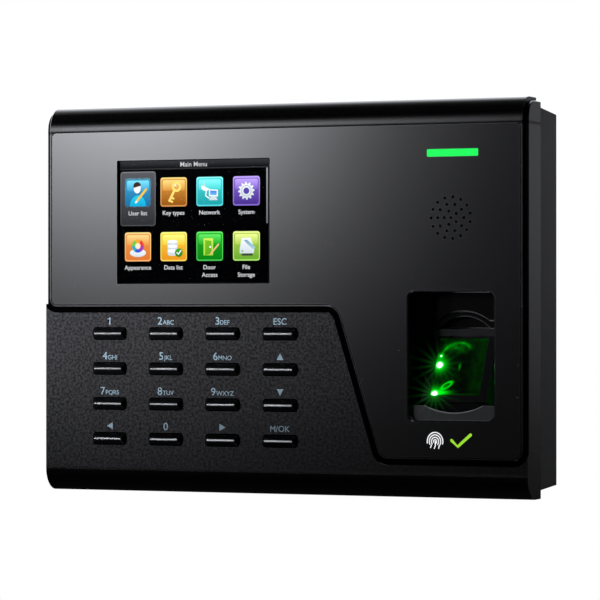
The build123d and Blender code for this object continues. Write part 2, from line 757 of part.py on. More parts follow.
PIECES = [
    front_cover,
    window_panel,
    panel_adhesive,
    display_lens,
    lcd_glass,
    backlight,
    lcd_frame,
    lcd_bracket,
    key_membrane,
    keypad_board,
    finger_guide,
    sensor_housing,
    sensor_prism,
    sensor_leds,
    sensor_lens,
    sensor_board,
    speaker,
    speaker_gasket,
    led_light_pipe,
    status_leds,
    led_board,
    main_board,
    processor,
    coin_cell,
    battery,
    ethernet_jack,
    terminal_block,
    power_jack,
    usb_port,
    lcd_flex,
    keypad_flex,
    sensor_cable,
    speaker_cable,
    tamper_switch,
    tamper_plunger,
    reset_switch,
    reset_button,
    rear_case,
    usb_cover,
    insert_nut,
    wall_plate,
    security_screw,
    case_screws,
    inner_screws,
]


def write(name, shape):
    solids = shape if isinstance(shape, list) else [shape]
    flat = [solid for item in solids for solid in item.solids()]
    export_step(flat[0] if len(flat) == 1 else Compound(children=flat), f"parts/{name}.step")


os.makedirs("parts", exist_ok=True)
for piece in PIECES:
    write(piece.__name__, piece())
for row, z in zip(KEY_NAMES, KEY_Z):
    for name, x in zip(row, KEY_X):
        write(name, keycap(x, z))
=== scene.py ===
"""Looks of a wall-mounted fingerprint scanner terminal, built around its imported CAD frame.

Metres, +Z up, the front faces -Y, the wall plate's rear face is at y = 0.
"""

import math

import bmesh
import bpy
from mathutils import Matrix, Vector


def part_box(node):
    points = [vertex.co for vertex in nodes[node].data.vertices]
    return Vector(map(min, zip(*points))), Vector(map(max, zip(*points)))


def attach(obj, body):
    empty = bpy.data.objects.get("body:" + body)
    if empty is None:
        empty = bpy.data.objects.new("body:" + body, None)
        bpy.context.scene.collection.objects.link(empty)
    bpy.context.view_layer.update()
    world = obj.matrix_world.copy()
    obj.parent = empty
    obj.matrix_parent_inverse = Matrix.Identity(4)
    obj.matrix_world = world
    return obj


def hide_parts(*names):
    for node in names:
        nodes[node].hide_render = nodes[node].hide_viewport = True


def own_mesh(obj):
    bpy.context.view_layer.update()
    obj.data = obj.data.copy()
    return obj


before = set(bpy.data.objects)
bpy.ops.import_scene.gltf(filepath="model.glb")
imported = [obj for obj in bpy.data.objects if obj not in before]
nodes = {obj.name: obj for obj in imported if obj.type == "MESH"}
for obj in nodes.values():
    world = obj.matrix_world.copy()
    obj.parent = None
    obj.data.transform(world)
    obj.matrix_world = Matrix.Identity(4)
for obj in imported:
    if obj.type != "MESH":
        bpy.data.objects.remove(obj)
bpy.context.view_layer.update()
MM = 0.001
PI = math.pi

COVER_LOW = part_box("front_cover")[0]
FRONT = COVER_LOW.y
LCD_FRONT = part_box("lcd_glass")[0].y
panel_low, panel_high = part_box("window_panel")
lens_low, lens_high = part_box("display_lens")
guide_low, guide_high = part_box("finger_guide")
prism_low, prism_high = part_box("sensor_prism")
mem_low, mem_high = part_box("key_membrane")


def linear(*srgb):
    """Scene-linear values of an 8-bit sRGB colour."""
    out = []
    for value in srgb:
        share = value / 255
        out.append(share / 12.92 if share <= 0.04045 else ((share + 0.055) / 1.055) ** 2.4)
    return tuple(out)


# ---- Node trees ---------------------------------------------------------------------------
class Tree:
    """Short calls for building one node tree."""

    def __init__(self, tree):
        self.tree = tree

    def feed(self, socket, value):
        if isinstance(value, bpy.types.NodeSocket):
            self.tree.links.new(value, socket)
        elif isinstance(value, (tuple, list)) and len(value) == 3 and socket.type == "RGBA":
            socket.default_value = (*value, 1)
        else:
            socket.default_value = value

    def node(self, kind, inputs=None, **settings):
        made = self.tree.nodes.new("ShaderNode" + kind)
        for key, value in settings.items():
            setattr(made, key, value)
        for key, value in (inputs or {}).items():
            self.feed(made.inputs[key], value)
        return made

    def math(self, operation, *values):
        made = self.node("Math", operation=operation)
        for socket, value in zip(made.inputs, values):
            self.feed(socket, value)
        return made.outputs[0]

    def add(self, first, *rest):
        for value in rest:
            first = self.math("ADD", first, value)
        return first

    def mul(self, first, *rest):
        for value in rest:
            first = self.math("MULTIPLY", first, value)
        return first

    def step(self, value, low, high):
        """Rises smoothly from 0 at low to 1 at high."""
        made = self.node("MapRange", interpolation_type="SMOOTHSTEP")
        for key, number in (("Value", value), ("From Min", low), ("From Max", high)):
            self.feed(made.inputs[key], number)
        return made.outputs["Result"]

    def mix(self, share, first, second):
        made = self.node("Mix", data_type="RGBA")
        for index, value in ((0, share), (6, first), (7, second)):
            self.feed(made.inputs[index], value)
        return made.outputs[2]

    def noise(self, at, scale, detail=3.0, rough=0.5):
        inputs = {"Vector": at, "Scale": scale, "Detail": detail, "Roughness": rough}
        return self.node("TexNoise", inputs).outputs["Fac"]

    def cells(self, at, scale, output="Distance"):
        return self.node("TexVoronoi", {"Vector": at, "Scale": scale}).outputs[output]

    def stretch(self, at, scale):
        return self.node("Mapping", {"Vector": at, "Scale": scale}).outputs[0]

    def split(self, at):
        return self.node("SeparateXYZ", {"Vector": at}).outputs

    def scaled(self, vector, factor):
        made = self.node("VectorMath", operation="SCALE")
        self.feed(made.inputs[0], vector)
        self.feed(made.inputs["Scale"], factor)
        return made.outputs[0]

    def blend(self, share, first, second):
        made = self.node("MixShader", {"Fac": share})
        self.feed(made.inputs[1], first.outputs[0])
        self.feed(made.inputs[2], second.outputs[0])
        return made.outputs[0]


class Look(Tree):
    """A procedural material around one Principled shader."""

    made = {}

    def __init__(self, name):
        self.mat = bpy.data.materials.new(name + "_look")
        self.mat.use_nodes = True
        super().__init__(self.mat.node_tree)
        self.bsdf = self.tree.nodes["Principled BSDF"]
        self.out = self.tree.nodes["Material Output"]
        self.at = self.node("TexCoord").outputs["Object"]
        Look.made[name] = self

    def set(self, **values):
        for key, value in values.items():
            self.feed(self.bsdf.inputs[key.replace("_", " ")], value)

    def bump(self, height, distance):
        made = self.node("Bump", {"Height": height, "Distance": distance, "Strength": 1.0})
        return made.outputs[0]

    def edges(self, radius):
        """About 1 along edges and 0 on open faces."""
        bevel = self.node("Bevel", {"Radius": radius}, samples=4).outputs[0]
        flat = self.node("NewGeometry").outputs["Normal"]
        dot = self.node("VectorMath", operation="DOT_PRODUCT")
        self.feed(dot.inputs[0], bevel)
        self.feed(dot.inputs[1], flat)
        return self.step(dot.outputs["Value"], 0.995, 0.93)


WEAR_REACH = 0.35 * MM  # how far wear spreads from an edge of moulded plastic


def moulded(name, colour, roughness, grain=0.25, depth=0.006, wear=0.0, mottle=0.12, **extra):
    """Moulded plastic: spark grain, cloudy sheen and rubbed edges. Grain and depth in mm."""
    look = Look(name)
    fine = look.noise(look.at, 1 / (grain * MM), 3, 0.6)
    coarse = look.noise(look.at, 0.4 / (grain * MM), 2)
    cloud = look.noise(look.at, 55, 4)
    height = look.add(look.mul(fine, 0.7), look.mul(coarse, 0.5))
    shade = look.add(1 - mottle, look.mul(cloud, mottle), look.mul(coarse, mottle))
    tone = look.scaled(colour, shade)
    if wear:
        patches = look.step(look.noise(look.at, 900, 4), 0.42, 0.66)
        rubbed = look.mul(look.edges(WEAR_REACH), patches, wear)
        tone = look.mix(rubbed, tone, tuple(min(1, 3 * c + 0.05) for c in colour))
    rough = look.add(roughness - 0.05, look.mul(cloud, 0.08), look.mul(fine, 0.05))
    look.set(Base_Color=tone, Roughness=rough, Normal=look.bump(height, depth * MM))
    look.set(**extra)
    return look


HOLE_SHADE_REACH = 1.2 * MM  # painted shade: polished faces with something this near are given less sheen
EDGE_HIGHLIGHT_REACH = 0.25 * MM  # width of a painted highlight along a polished piece's edges


def gloss(name, colour, roughness, rim=0.1, shine=0.5):
    """Polished plastic: hairline scuffs, smears in the sheen, a few dust specks, a painted highlight along
    its edges and painted shade that dulls the sheen in holes and gaps.
    """
    look = Look(name)
    smear = look.noise(look.at, 28, 5, 0.55)
    hair = look.noise(look.stretch(look.at, (1, 1, 14)), 420, 2)
    cross = look.noise(look.stretch(look.at, (9, 1, 1)), 300, 2)
    scuff = look.mul(look.step(hair, 0.66, 0.74), look.step(cross, 0.5, 0.7))
    specks = look.step(look.cells(look.at, 260), 0.045, 0.03)
    dust = look.mul(specks, look.step(look.noise(look.at, 90, 2), 0.52, 0.6))
    tone = look.mix(look.mul(dust, 0.35), colour, (0.12, 0.12, 0.12))
    # Painted highlight: the edges are painted lighter, as strongly as rim asks.
    tone = look.mix(look.mul(look.edges(EDGE_HIGHLIGHT_REACH), rim), tone, (0.1, 0.1, 0.1))
    rough = look.add(roughness, look.mul(smear, 0.03), look.mul(scuff, 0.05), look.mul(dust, 0.3))
    peel = look.noise(look.at, 130, 1)
    # Painted shade: holes and gaps dull the sheen.
    ao = look.node("AmbientOcclusion", {"Distance": HOLE_SHADE_REACH}, samples=4).outputs["AO"]
    look.set(Specular_IOR_Level=look.mul(look.step(ao, 0.4, 0.85), shine))
    look.set(Base_Color=tone, Roughness=rough, Normal=look.bump(peel, 0.0006 * MM))
    return look


def metal(name, colour, roughness, lay=(1, 1, 1), tint=0.25, depth=0.004, spangle=0.0):
    """Bare or plated metal: a directional lay, cloudy oxide, and crystal spangle when asked for."""
    look = Look(name)
    along = look.stretch(look.at, lay)
    brushed = look.noise(along, 1600, 3)
    cloud = look.noise(look.at, 70, 5)
    stain = look.step(look.noise(look.at, 230, 6, 0.7), 0.5, 0.75)
    tone = look.mix(look.mul(cloud, tint), colour, tuple(c * 0.55 for c in colour))
    rough = look.add(roughness - 0.08, look.mul(brushed, 0.16), look.mul(stain, 0.12))
    if spangle:
        flake = look.cells(look.at, 170, output="Color")
        flake = look.split(flake)[0]
        tone = look.mix(look.mul(flake, spangle), tone, tuple(min(1, c * 1.5) for c in colour))
        rough = look.add(rough, look.mul(flake, 0.14))
    look.set(Base_Color=tone, Roughness=rough, Metallic=1.0, Normal=look.bump(brushed, depth * MM))
    return look


# ---- Casing, panel and keys ---------------------------------------------------------------
# The keypad field's lower and upper edge
FIELD_LOW, FIELD_HIGH = COVER_LOW.z + 8.0 * MM, lens_low.z - 6.4 * MM
GROOVE_SHADE_REACH = 5 * MM  # painted shade: faces with something this near are painted darker
SEAM_Z = panel_high.z  # the gap between the top roll and the panel, darkened by painted shade
ROLL_PAINTED_SHADE = 0.03  # painted shade: the rolls' and sides' body colour against the field's, darker so that the lamps light them less


def casing():
    """Satin moulding with polished rolls and rims and a spark-eroded keypad field; painted shade darkens its
    rolls, sides, grooves, sunk faces and the seam under the top roll.
    """
    look = Look("casing_plastic")
    z = look.split(look.at)[2]
    facing = look.step(look.split(look.node("NewGeometry").outputs["Normal"])[1], -0.9, -0.99)
    field = look.step(z, FIELD_LOW, FIELD_LOW + 1.5 * MM)
    field = look.mul(field, look.step(z, FIELD_HIGH, FIELD_HIGH - 1 * MM), facing)
    depth = look.add(look.split(look.at)[1], -FRONT)
    # Painted shade: front faces sunk more than half a millimetre behind the front are painted almost black.
    sunk_shade_mask = look.mul(facing, look.step(depth, 0.3 * MM, 0.5 * MM))
    # Painted shade: a band just above the seam is painted dark by taking most of its sheen away.
    above = look.step(z, SEAM_Z + 0.9 * MM, SEAM_Z + 0.35 * MM)
    seam_shade = look.mul(above, look.step(z, SEAM_Z - 1 * MM, SEAM_Z))
    fine = look.noise(look.at, 3300, 3, 0.65)
    pits = look.cells(look.at, 1250)
    coarse = look.noise(look.at, 1050, 2)
    cloud = look.noise(look.at, 48, 4)
    grain = look.add(look.mul(fine, 0.5), look.mul(pits, 0.6), look.mul(coarse, 0.55))
    satin = look.noise(look.at, 3000, 2)
    height = look.add(look.mul(grain, field, 0.09 * MM), look.mul(satin, 0.0022 * MM))
    shade = look.add(0.22, look.mul(cloud, 0.3), look.step(coarse, 0.34, 0.66), look.mul(fine, 0.35))
    # Painted shade: off the keypad field, the rolls and sides are painted darker.
    shade = look.mul(shade, look.add(ROLL_PAINTED_SHADE, look.mul(field, 1 - ROLL_PAINTED_SHADE)))
    # Painted shade: near grooves and other parts, the colour, the wear and the sheen are painted darker.
    ao = look.node("AmbientOcclusion", {"Distance": GROOVE_SHADE_REACH}, samples=6).outputs["AO"]
    painted_groove_shade = look.mul(look.step(ao, 0.3, 0.8), look.add(1, look.mul(sunk_shade_mask, -0.96)))
    base = look.scaled((0.0085, 0.0085, 0.009), look.mul(shade, painted_groove_shade))
    patches = look.step(look.noise(look.at, 700, 4), 0.4, 0.7)
    # Rubbed edges: patchy wear that is lighter along edges; it also serves as a painted highlight on edges
    # such as the slots' lower lips.
    rubbed = look.mul(look.edges(0.3 * MM), patches, painted_groove_shade, 0.12)
    tone = look.mix(rubbed, base, (0.07, 0.07, 0.075))
    rough = look.add(0.12, look.mul(field, 0.45), look.mul(cloud, 0.05), look.mul(satin, 0.05))
    shine = look.mul(painted_groove_shade, look.add(0.42, look.mul(field, -0.27)), look.add(1, look.mul(seam_shade, -0.85)))
    look.set(Base_Color=tone, Roughness=rough, Normal=look.bump(height, 1.0))
    look.set(Specular_IOR_Level=shine)


casing()
rear = {"grain": 0.36, "depth": 0.02, "wear": 0.2, "mottle": 0.3}
moulded("rear_plastic", (0.0065, 0.0065, 0.007), 0.42, **rear, Specular_IOR_Level=0.13)
barrel = {"grain": 0.22, "depth": 0.006, "wear": 0.3}
moulded("lens_barrel", (0.0025, 0.0025, 0.003), 0.45, **barrel, Specular_IOR_Level=0.25)

WELL_RIGHT = guide_high.x - 6.8 * MM  # the well's right wall
LIP_TOP = guide_low.z + 8.74 * MM
LIP_FRONT, LIP_BACK = FRONT + 3.4 * MM, FRONT + 3.7 * MM


def well_plastic():
    """Black finger guide: a grained lip, painted shade on the well's walls above it, painted highlights on
    its arrises and on the lip's top, and painted green light on the right wall.
    """
    look = Look("well_plastic")
    x, y, z = look.split(look.at)
    lip = look.step(z, LIP_TOP + 0.4 * MM, LIP_TOP - 0.4 * MM)
    fine, cloud = look.noise(look.at, 3200, 3), look.noise(look.at, 60, 3)
    mottled = look.add(0.6, look.mul(cloud, 0.4), look.mul(fine, 0.4))
    # Painted shade: above the lip, inside the well, the colour is painted 25 times darker.
    body = look.mul(mottled, look.add(0.04, look.mul(lip, 0.96)))
    base = look.scaled((0.011, 0.0112, 0.0115), body)
    right = look.step(x, prism_low.x + 2.22 * MM, prism_high.x + 2.02 * MM)
    # Painted highlight: the up-facing top edge of the lip is painted light.
    up = look.step(look.split(look.node("NewGeometry").outputs["Normal"])[2], 0.25, 0.75)
    up = look.mul(up, look.step(z, LIP_TOP + 0.6 * MM, LIP_TOP), look.step(y, LIP_BACK, LIP_FRONT))
    # Painted highlight: arrises are painted lighter, more so towards the right, where the light falls.
    edge_highlight = look.mul(look.edges(0.45 * MM), look.add(0.08, look.mul(right, 0.18)))
    edge_highlight = look.mul(look.math("MAXIMUM", edge_highlight, up), look.add(0.7, look.mul(fine, 0.5)))
    tone = look.mix(edge_highlight, base, (0.36, 0.36, 0.37))
    # Painted light: a green glow on the lower part of the well's right wall.
    low_part = look.step(z, LIP_TOP + 16.5 * MM, LIP_TOP + 10.5 * MM)
    wall = look.mul(look.step(x, WELL_RIGHT - 0.4 * MM, WELL_RIGHT - 0.1 * MM), low_part)
    glow = look.mul(wall, look.add(0.5, look.mul(look.noise(look.at, 500, 4), 0.9)), 0.13)
    look.set(Base_Color=tone, Roughness=look.add(0.38, look.mul(fine, 0.15)))
    # Painted shade: inside the well, above the lip, the sheen is painted down as well.
    look.set(Normal=look.bump(fine, 0.006 * MM), Specular_IOR_Level=look.add(0.05, look.mul(lip, 0.37)))
    look.set(Emission_Color=(0.01, 1.0, 0.05), Emission_Strength=glow)


well_plastic()
gloss("panel_gloss", (0.003, 0.003, 0.0033), 0.06, rim=0.3)
gloss("lcd_cell", (0.003, 0.003, 0.0035), 0.2)
moulded("diffuser_sheet", (0.7, 0.7, 0.7), 0.4, grain=0.4, depth=0.004)
gloss("key_gloss", (0.001, 0.001, 0.0012), 0.12, rim=0.0, shine=0.1)
moulded("flap_rubber", (0.014, 0.014, 0.014), 0.7, grain=0.5, depth=0.02, mottle=0.4)
moulded("membrane_silicone", (0.2, 0.21, 0.23), 0.62, grain=0.4, depth=0.006, Subsurface_Weight=0.1)
moulded("gasket_foam", (0.022, 0.022, 0.024), 0.92, grain=0.35, depth=0.09, mottle=0.5)
moulded("button_plastic", (0.62, 0.61, 0.56), 0.42, grain=0.5, depth=0.005, Subsurface_Weight=0.1)
moulded("bracket_plastic", (0.05, 0.05, 0.052), 0.5, grain=0.4, depth=0.01)
moulded("connector_plastic", (0.018, 0.018, 0.018), 0.38, grain=0.4, depth=0.006, wear=0.2)
moulded("terminal_green", (0.01, 0.11, 0.045), 0.42, grain=0.45, depth=0.007, wear=0.3)
moulded("chip_plastic", (0.02, 0.02, 0.021), 0.55, grain=0.2, depth=0.01)
moulded("cable_jacket", (0.3, 0.012, 0.012), 0.35, grain=0.5, depth=0.006)

# ---- Metals -------------------------------------------------------------------------------
metal("zinc_plate", (0.52, 0.54, 0.56), 0.42, lay=(1, 1, 6), tint=0.35, spangle=0.24)
metal("plated_steel", (0.62, 0.61, 0.58), 0.3, lay=(8, 1, 1))
metal("screw_steel", (0.5, 0.5, 0.49), 0.3, lay=(1, 8, 1), tint=0.4)
metal("brass", (0.68, 0.5, 0.2), 0.3, tint=0.5)
metal("speaker_metal", (0.06, 0.06, 0.065), 0.5)
metal("key_foil", (0.75, 0.75, 0.76), 0.4, lay=(0.05, 1, 1), tint=0.12, depth=0.002)


def coated_glass(name, tint, reflect):
    """Clear coated window: almost see-through, a weak reflection and smears."""
    look = Look(name)
    smear = look.noise(look.at, 35, 5)
    clear = look.node("BsdfTransparent", {"Color": tint})
    shine = look.node("BsdfGlossy", {"Roughness": look.add(0.03, look.mul(smear, 0.06))})
    rim = look.node("LayerWeight", {"Blend": 0.12}).outputs["Fresnel"]
    share = look.mul(look.add(0.2, look.mul(rim, 2.0), look.mul(smear, 0.25)), reflect)
    look.feed(look.out.inputs["Surface"], look.blend(share, clear, shine))
    look.tree.nodes.remove(look.bsdf)


coated_glass("display_glass", (0.97, 0.98, 0.99), 0.0006)


def printed_board():
    """Green solder mask with etched tracks under it, pads and a fibreglass weave."""
    look = Look("circuit_board")
    x, _, z = look.split(look.at)
    flat = look.node("CombineXYZ")
    look.feed(flat.inputs[0], x)
    look.feed(flat.inputs[1], z)
    flat = flat.outputs[0]
    tracks = look.node("TexBrick", {"Vector": flat, "Scale": 1 / (4 * MM), "Mortar Size": 0.06})
    runs = look.node("TexBrick", {"Vector": flat, "Scale": 1 / (1.3 * MM), "Mortar Size": 0.12})
    area = look.step(look.noise(flat, 120, 2), 0.48, 0.52)
    copper = look.math("MAXIMUM", tracks.outputs["Fac"], look.mul(runs.outputs["Fac"], area))
    pads = look.step(look.cells(flat, 330), 0.2, 0.16)
    weave = look.noise(look.stretch(flat, (1, 3, 1)), 2500, 2)
    tone = look.mix(look.mul(copper, 0.6), (0.003, 0.032, 0.014), (0.01, 0.075, 0.03))
    tone = look.mix(look.mul(pads, area), tone, (0.62, 0.6, 0.56))
    height = look.add(copper, look.mul(weave, 0.25), pads)
    look.set(Base_Color=tone, Roughness=look.add(0.3, look.mul(weave, 0.12)))
    look.set(Metallic=look.mul(pads, area), Normal=look.bump(height, 0.03 * MM))


def battery_film():
    """Blue shrink film with fine wrinkles running round the pack."""
    look = Look("battery_wrap")
    wrinkle = look.noise(look.stretch(look.at, (1, 1, 6)), 130, 4, 0.6)
    cloud = look.noise(look.at, 60, 3)
    tone = look.mix(look.mul(cloud, 0.6), (0.02, 0.1, 0.3), (0.05, 0.17, 0.4))
    look.set(Base_Color=tone, Roughness=look.add(0.16, look.mul(cloud, 0.12)))
    look.set(Normal=look.bump(wrinkle, 0.12 * MM), Coat_Weight=0.6)


def flex_film():
    """Amber polyimide film over parallel copper lines."""
    look = Look("flex_film")
    x, _, z = look.split(look.at)
    lines = look.math("SINE", look.mul(look.add(x, z), 2 * PI / (0.8 * MM)))
    lines = look.step(lines, -0.1, 0.3)
    cloud = look.noise(look.at, 140, 3)
    tone = look.mix(lines, (0.3, 0.12, 0.02), (0.55, 0.25, 0.05))
    look.set(Base_Color=tone, Roughness=look.add(0.2, look.mul(cloud, 0.15)))
    look.set(Normal=look.bump(lines, 0.02 * MM), Coat_Weight=0.5)


printed_board()
battery_film()
flex_film()

# ---- Status light -------------------------------------------------------------------------
LED_GREEN = (0.008, 0.973, 0.109)


def glowing(name, colour, strength, uneven):
    """A light guide: even glow that dips a little between its light sources, with fine frost."""
    look = Look(name)
    x = look.split(look.at)[0]
    wave = look.math("COSINE", look.mul(x, 2 * PI / (6.5 * MM)))
    frost = look.noise(look.at, 2600, 3)
    level = look.add(strength * (1 - uneven), look.mul(wave, strength * uneven * 0.5))
    level = look.add(level, look.mul(frost, strength * uneven * 0.6))
    look.set(Base_Color=tuple(c * 0.02 for c in colour), Roughness=look.add(0.22, look.mul(frost, 0.2)))
    look.set(Emission_Color=colour, Emission_Strength=level, Normal=look.bump(frost, 0.004 * MM))
    look.set(Specular_IOR_Level=0.15)


glowing("light_guide", LED_GREEN, 1.0, 0.05)
glowing("led_epoxy", (0.1, 1.0, 0.25), 2.0, 0.2)

# ---- Finger sensor glass ------------------------------------------------------------------
PRISM_LEAN = math.radians(27)
PRISM_HALF = 11.1 * MM  # half the height of the glass's face, along its lean
PRISM_UP = Vector((0, math.sin(PRISM_LEAN), math.cos(PRISM_LEAN)))
PRISM_X = (prism_low.x + prism_high.x) / 2
FACE_Y = prism_low.y + PRISM_HALF * PRISM_UP.y
FACE_Z = prism_high.z - PRISM_HALF * PRISM_UP.z
PRISM_FRONT = Vector((PRISM_X, FACE_Y, FACE_Z))  # the middle of the face
# Painted light: the bare light sources, drawn glowing on the glass. Across and up on the glass from
# its middle, brightness, and the halo's radii, in mm.
HOT_SPOTS = (
    (-7.65, 0.67, 1.0, 2.2, 2.2),
    (-7.71, -10.6, 1.0, 2.2, 2.0),
    (-7.66, 4.2, 0.25, 0.9, 0.9),
)
LEAF_TURN = 0.65  # how far the painted leaf-shaped reflection is turned, in radians
LEAF = (math.cos(LEAF_TURN), math.sin(LEAF_TURN))


def sensor_glass():
    """Dark glass with painted light on its face: its green illuminators, their arcs and reflections, a glint
    and a faint lit field.
    """
    look = Look("sensor_glass")
    u = look.mul(look.add(look.split(look.at)[0], -PRISM_X), 1 / MM)
    offset = look.node("VectorMath", operation="SUBTRACT")
    look.feed(offset.inputs[0], look.at)
    look.feed(offset.inputs[1], PRISM_FRONT)
    dot = look.node("VectorMath", operation="DOT_PRODUCT")
    look.feed(dot.inputs[0], offset.outputs[0])
    look.feed(dot.inputs[1], PRISM_UP)
    v = look.mul(dot.outputs["Value"], 1 / MM)

    def spot(cu, cv, ru, rv):
        """A soft round spot, with its middle and radii in mm on the glass."""
        du = look.mul(look.add(u, -cu), 1 / ru)
        dv = look.mul(look.add(v, -cv), 1 / rv)
        square = look.add(look.mul(du, du), look.mul(dv, dv))
        return look.math("EXPONENT", look.mul(square, -1))

    def arc(cu, cv, r, width, low, high):
        """Part of a ring between two angles, in radians from the right."""
        du, dv = look.add(u, -cu), look.add(v, -cv)
        dist = look.math("SQRT", look.add(look.mul(du, du), look.mul(dv, dv)))
        off = look.mul(look.add(dist, -r), 1 / width)
        ring = look.math("EXPONENT", look.mul(off, off, -1))
        turn = look.math("ARCTAN2", dv, du)
        return look.mul(ring, look.step(turn, low, low + 0.5), look.step(turn, high, high - 0.5))

    grainy = look.noise(look.at, 2400, 3)
    blotch = look.noise(look.at, 420, 4)
    patchy = look.step(blotch, 0.38, 0.62)
    halo = look.add(*(spot(a, b, ru, rv) for a, b, _, ru, rv in HOT_SPOTS))
    core = look.add(*(look.mul(spot(a, b, 0.5 * c + 0.1, 0.5 * c + 0.1), c) for a, b, c, _, _ in HOT_SPOTS))
    bow = look.mul(arc(-1.65, 3.72, 5.7, 0.5, 0.5, 3.1), look.add(0.4, look.mul(patchy, 0.6)), 0.3)
    wing = look.mul(spot(-2.4, 7.6, 4.2, 1.7), look.add(0.35, look.mul(patchy, 0.65)), 0.13)
    lu, lv = look.add(u, 3.75), look.add(v, 7.3)
    along = look.mul(look.add(look.mul(lu, LEAF[0]), look.mul(lv, LEAF[1])), 1 / 2.1)
    aside = look.mul(look.add(look.mul(lv, LEAF[0]), look.mul(lu, -LEAF[1])), 1 / 0.9)
    rim = look.add(look.math("SQRT", look.add(look.mul(along, along), look.mul(aside, aside))), -1)
    ring = look.mul(rim, 1 / 0.3)
    inside = look.mul(look.step(rim, 0.1, -0.2), patchy, 0.25)
    leaf = look.add(look.mul(look.math("EXPONENT", look.mul(ring, ring, -1)), 0.6), inside)
    tail = look.mul(spot(-5.4, -10.0, 2.6, 0.8), 0.9)
    glint = look.mul(spot(-0.1, 0.1, 0.35, 1.0), 0.22)
    near = look.mul(spot(-5, -4, 6, 9), look.add(0.1, look.mul(patchy, 0.9)), 0.013)
    side = look.mul(look.step(u, 1.5, 7.5), look.add(0.45, look.mul(patchy, 0.55)), 0.016)
    top = look.mul(look.step(v, 9.3, 10.8), look.add(0.3, look.mul(patchy, 0.7)), 0.015)
    foot = look.mul(spot(-1, -10.7, 7, 0.3), 0.03)
    # Painted light: every spot, arc, reflection and field above glows green from the glass's face; the spots'
    # cores glow near white.
    green = look.add(look.mul(halo, 0.75), bow, wing, leaf, tail, glint, near, side, top, foot)
    green = look.mul(green, look.add(0.75, look.mul(grainy, 0.5)))
    lit = look.node("Emission", {"Color": (0.0, 1.0, 0.01), "Strength": green})
    white = look.node("Emission", {"Color": (0.5, 1.0, 0.6), "Strength": look.mul(core, 26)})
    rough = look.add(0.07, look.mul(blotch, 0.08))
    look.set(Base_Color=(0.0008, 0.0015, 0.0008), Roughness=rough, Normal=look.bump(blotch, 0.001 * MM))
    look.set(Specular_IOR_Level=0.12)
    first = look.node("AddShader")
    second = look.node("AddShader")
    look.feed(first.inputs[0], look.bsdf.outputs[0])
    look.feed(first.inputs[1], lit.outputs[0])
    look.feed(second.inputs[0], first.outputs[0])
    look.feed(second.inputs[1], white.outputs[0])
    look.feed(look.out.inputs["Surface"], second.outputs[0])


sensor_glass()

OWN_LOOK = {"rear_case": "rear_plastic", "lcd_glass": "lcd_cell", "backlight": "diffuser_sheet"}
for name, node in nodes.items():
    slot_name = node.data.materials[0].name.split(".")[0]
    node.data.materials[0] = Look.made[OWN_LOOK.get(name, slot_name)].mat


# ---- Mesh building ------------------------------------------------------------------------
def piece(name, mesh, look, body="terminal", smooth=True):
    obj = bpy.data.objects.new(name, mesh)
    bpy.context.scene.collection.objects.link(obj)
    mesh.materials.clear()
    mesh.materials.append(Look.made[look].mat)
    mesh.shade_smooth() if smooth else mesh.shade_flat()
    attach(obj, body)
    return obj


def thicken(bm, faces, thick):
    """Gives flat faces a thickness towards the front."""
    made = bmesh.ops.extrude_face_region(bm, geom=faces)
    for item in made["geom"]:
        if isinstance(item, bmesh.types.BMVert):
            item.co.y -= thick


def finish_mesh(name, bm, outward=True):
    """Turns the build data into a mesh, with its normals facing out if asked."""
    if outward:
        bmesh.ops.recalc_face_normals(bm, faces=bm.faces)
    mesh = bpy.data.meshes.new(name)
    bm.to_mesh(mesh)
    bm.free()
    return mesh


def middle(node):
    """X and Z of the middle of a CAD node."""
    low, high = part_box(node)
    return (low.x + high.x) / 2, (low.z + high.z) / 2


def flat_mesh(name, loops, front, thick):
    """Closed outlines in X and Z, made into thin plates standing on y = front."""
    bm = bmesh.new()
    for loop in loops:
        face = bm.faces.new([bm.verts.new((x, front, z)) for x, z in loop])
        face.normal_update()
        if face.normal.y > 0:
            face.normal_flip()
        thicken(bm, [face], thick)
    return finish_mesh(name, bm)


def rounded(cx, cz, width, height, r, steps=6):
    """Corner-rounded rectangle outline in X and Z."""
    points = []
    for sx, sz, start in ((1, 1, 0), (-1, 1, 1), (-1, -1, 2), (1, -1, 3)):
        for n in range(steps + 1):
            turn = (start + n / steps) * PI / 2
            x = cx + sx * (width / 2 - r) + r * math.cos(turn)
            z = cz + sz * (height / 2 - r) + r * math.sin(turn)
            points.append((x, z))
    return points


def ribbon(points, width):
    """Outline of a stroke of even width with round ends along a line of X, Z points."""
    left, right = [], []
    count = len(points)
    for n, (x, z) in enumerate(points):
        x0, z0 = points[max(n - 1, 0)]
        x1, z1 = points[min(n + 1, count - 1)]
        length = math.hypot(x1 - x0, z1 - z0)
        nx, nz = -(z1 - z0) / length * width / 2, (x1 - x0) / length * width / 2
        left.append((x + nx, z + nz))
        right.append((x - nx, z - nz))
    cap = []
    for (x, z), (ex, ez) in ((points[-1], left[-1]), (points[0], right[0])):
        start = math.atan2(ez - z, ex - x)
        turns = [start - PI * k / 6 for k in range(1, 6)]
        cap.append([(x + width / 2 * math.cos(t), z + width / 2 * math.sin(t)) for t in turns])
    return left + cap[0] + right[::-1] + cap[1]


def arc_points(cx, cz, rx, rz, start, end, steps=24):
    """Points along an ellipse, angles in degrees."""
    turns = (math.radians(start + (end - start) * n / steps) for n in range(steps + 1))
    return [(cx + rx * math.cos(t), cz + rz * math.sin(t)) for t in turns]


# ---- Lettering ----------------------------------------------------------------------------
CAP_SHARE = 0.72  # a capital's height in the font, as a share of the font's size


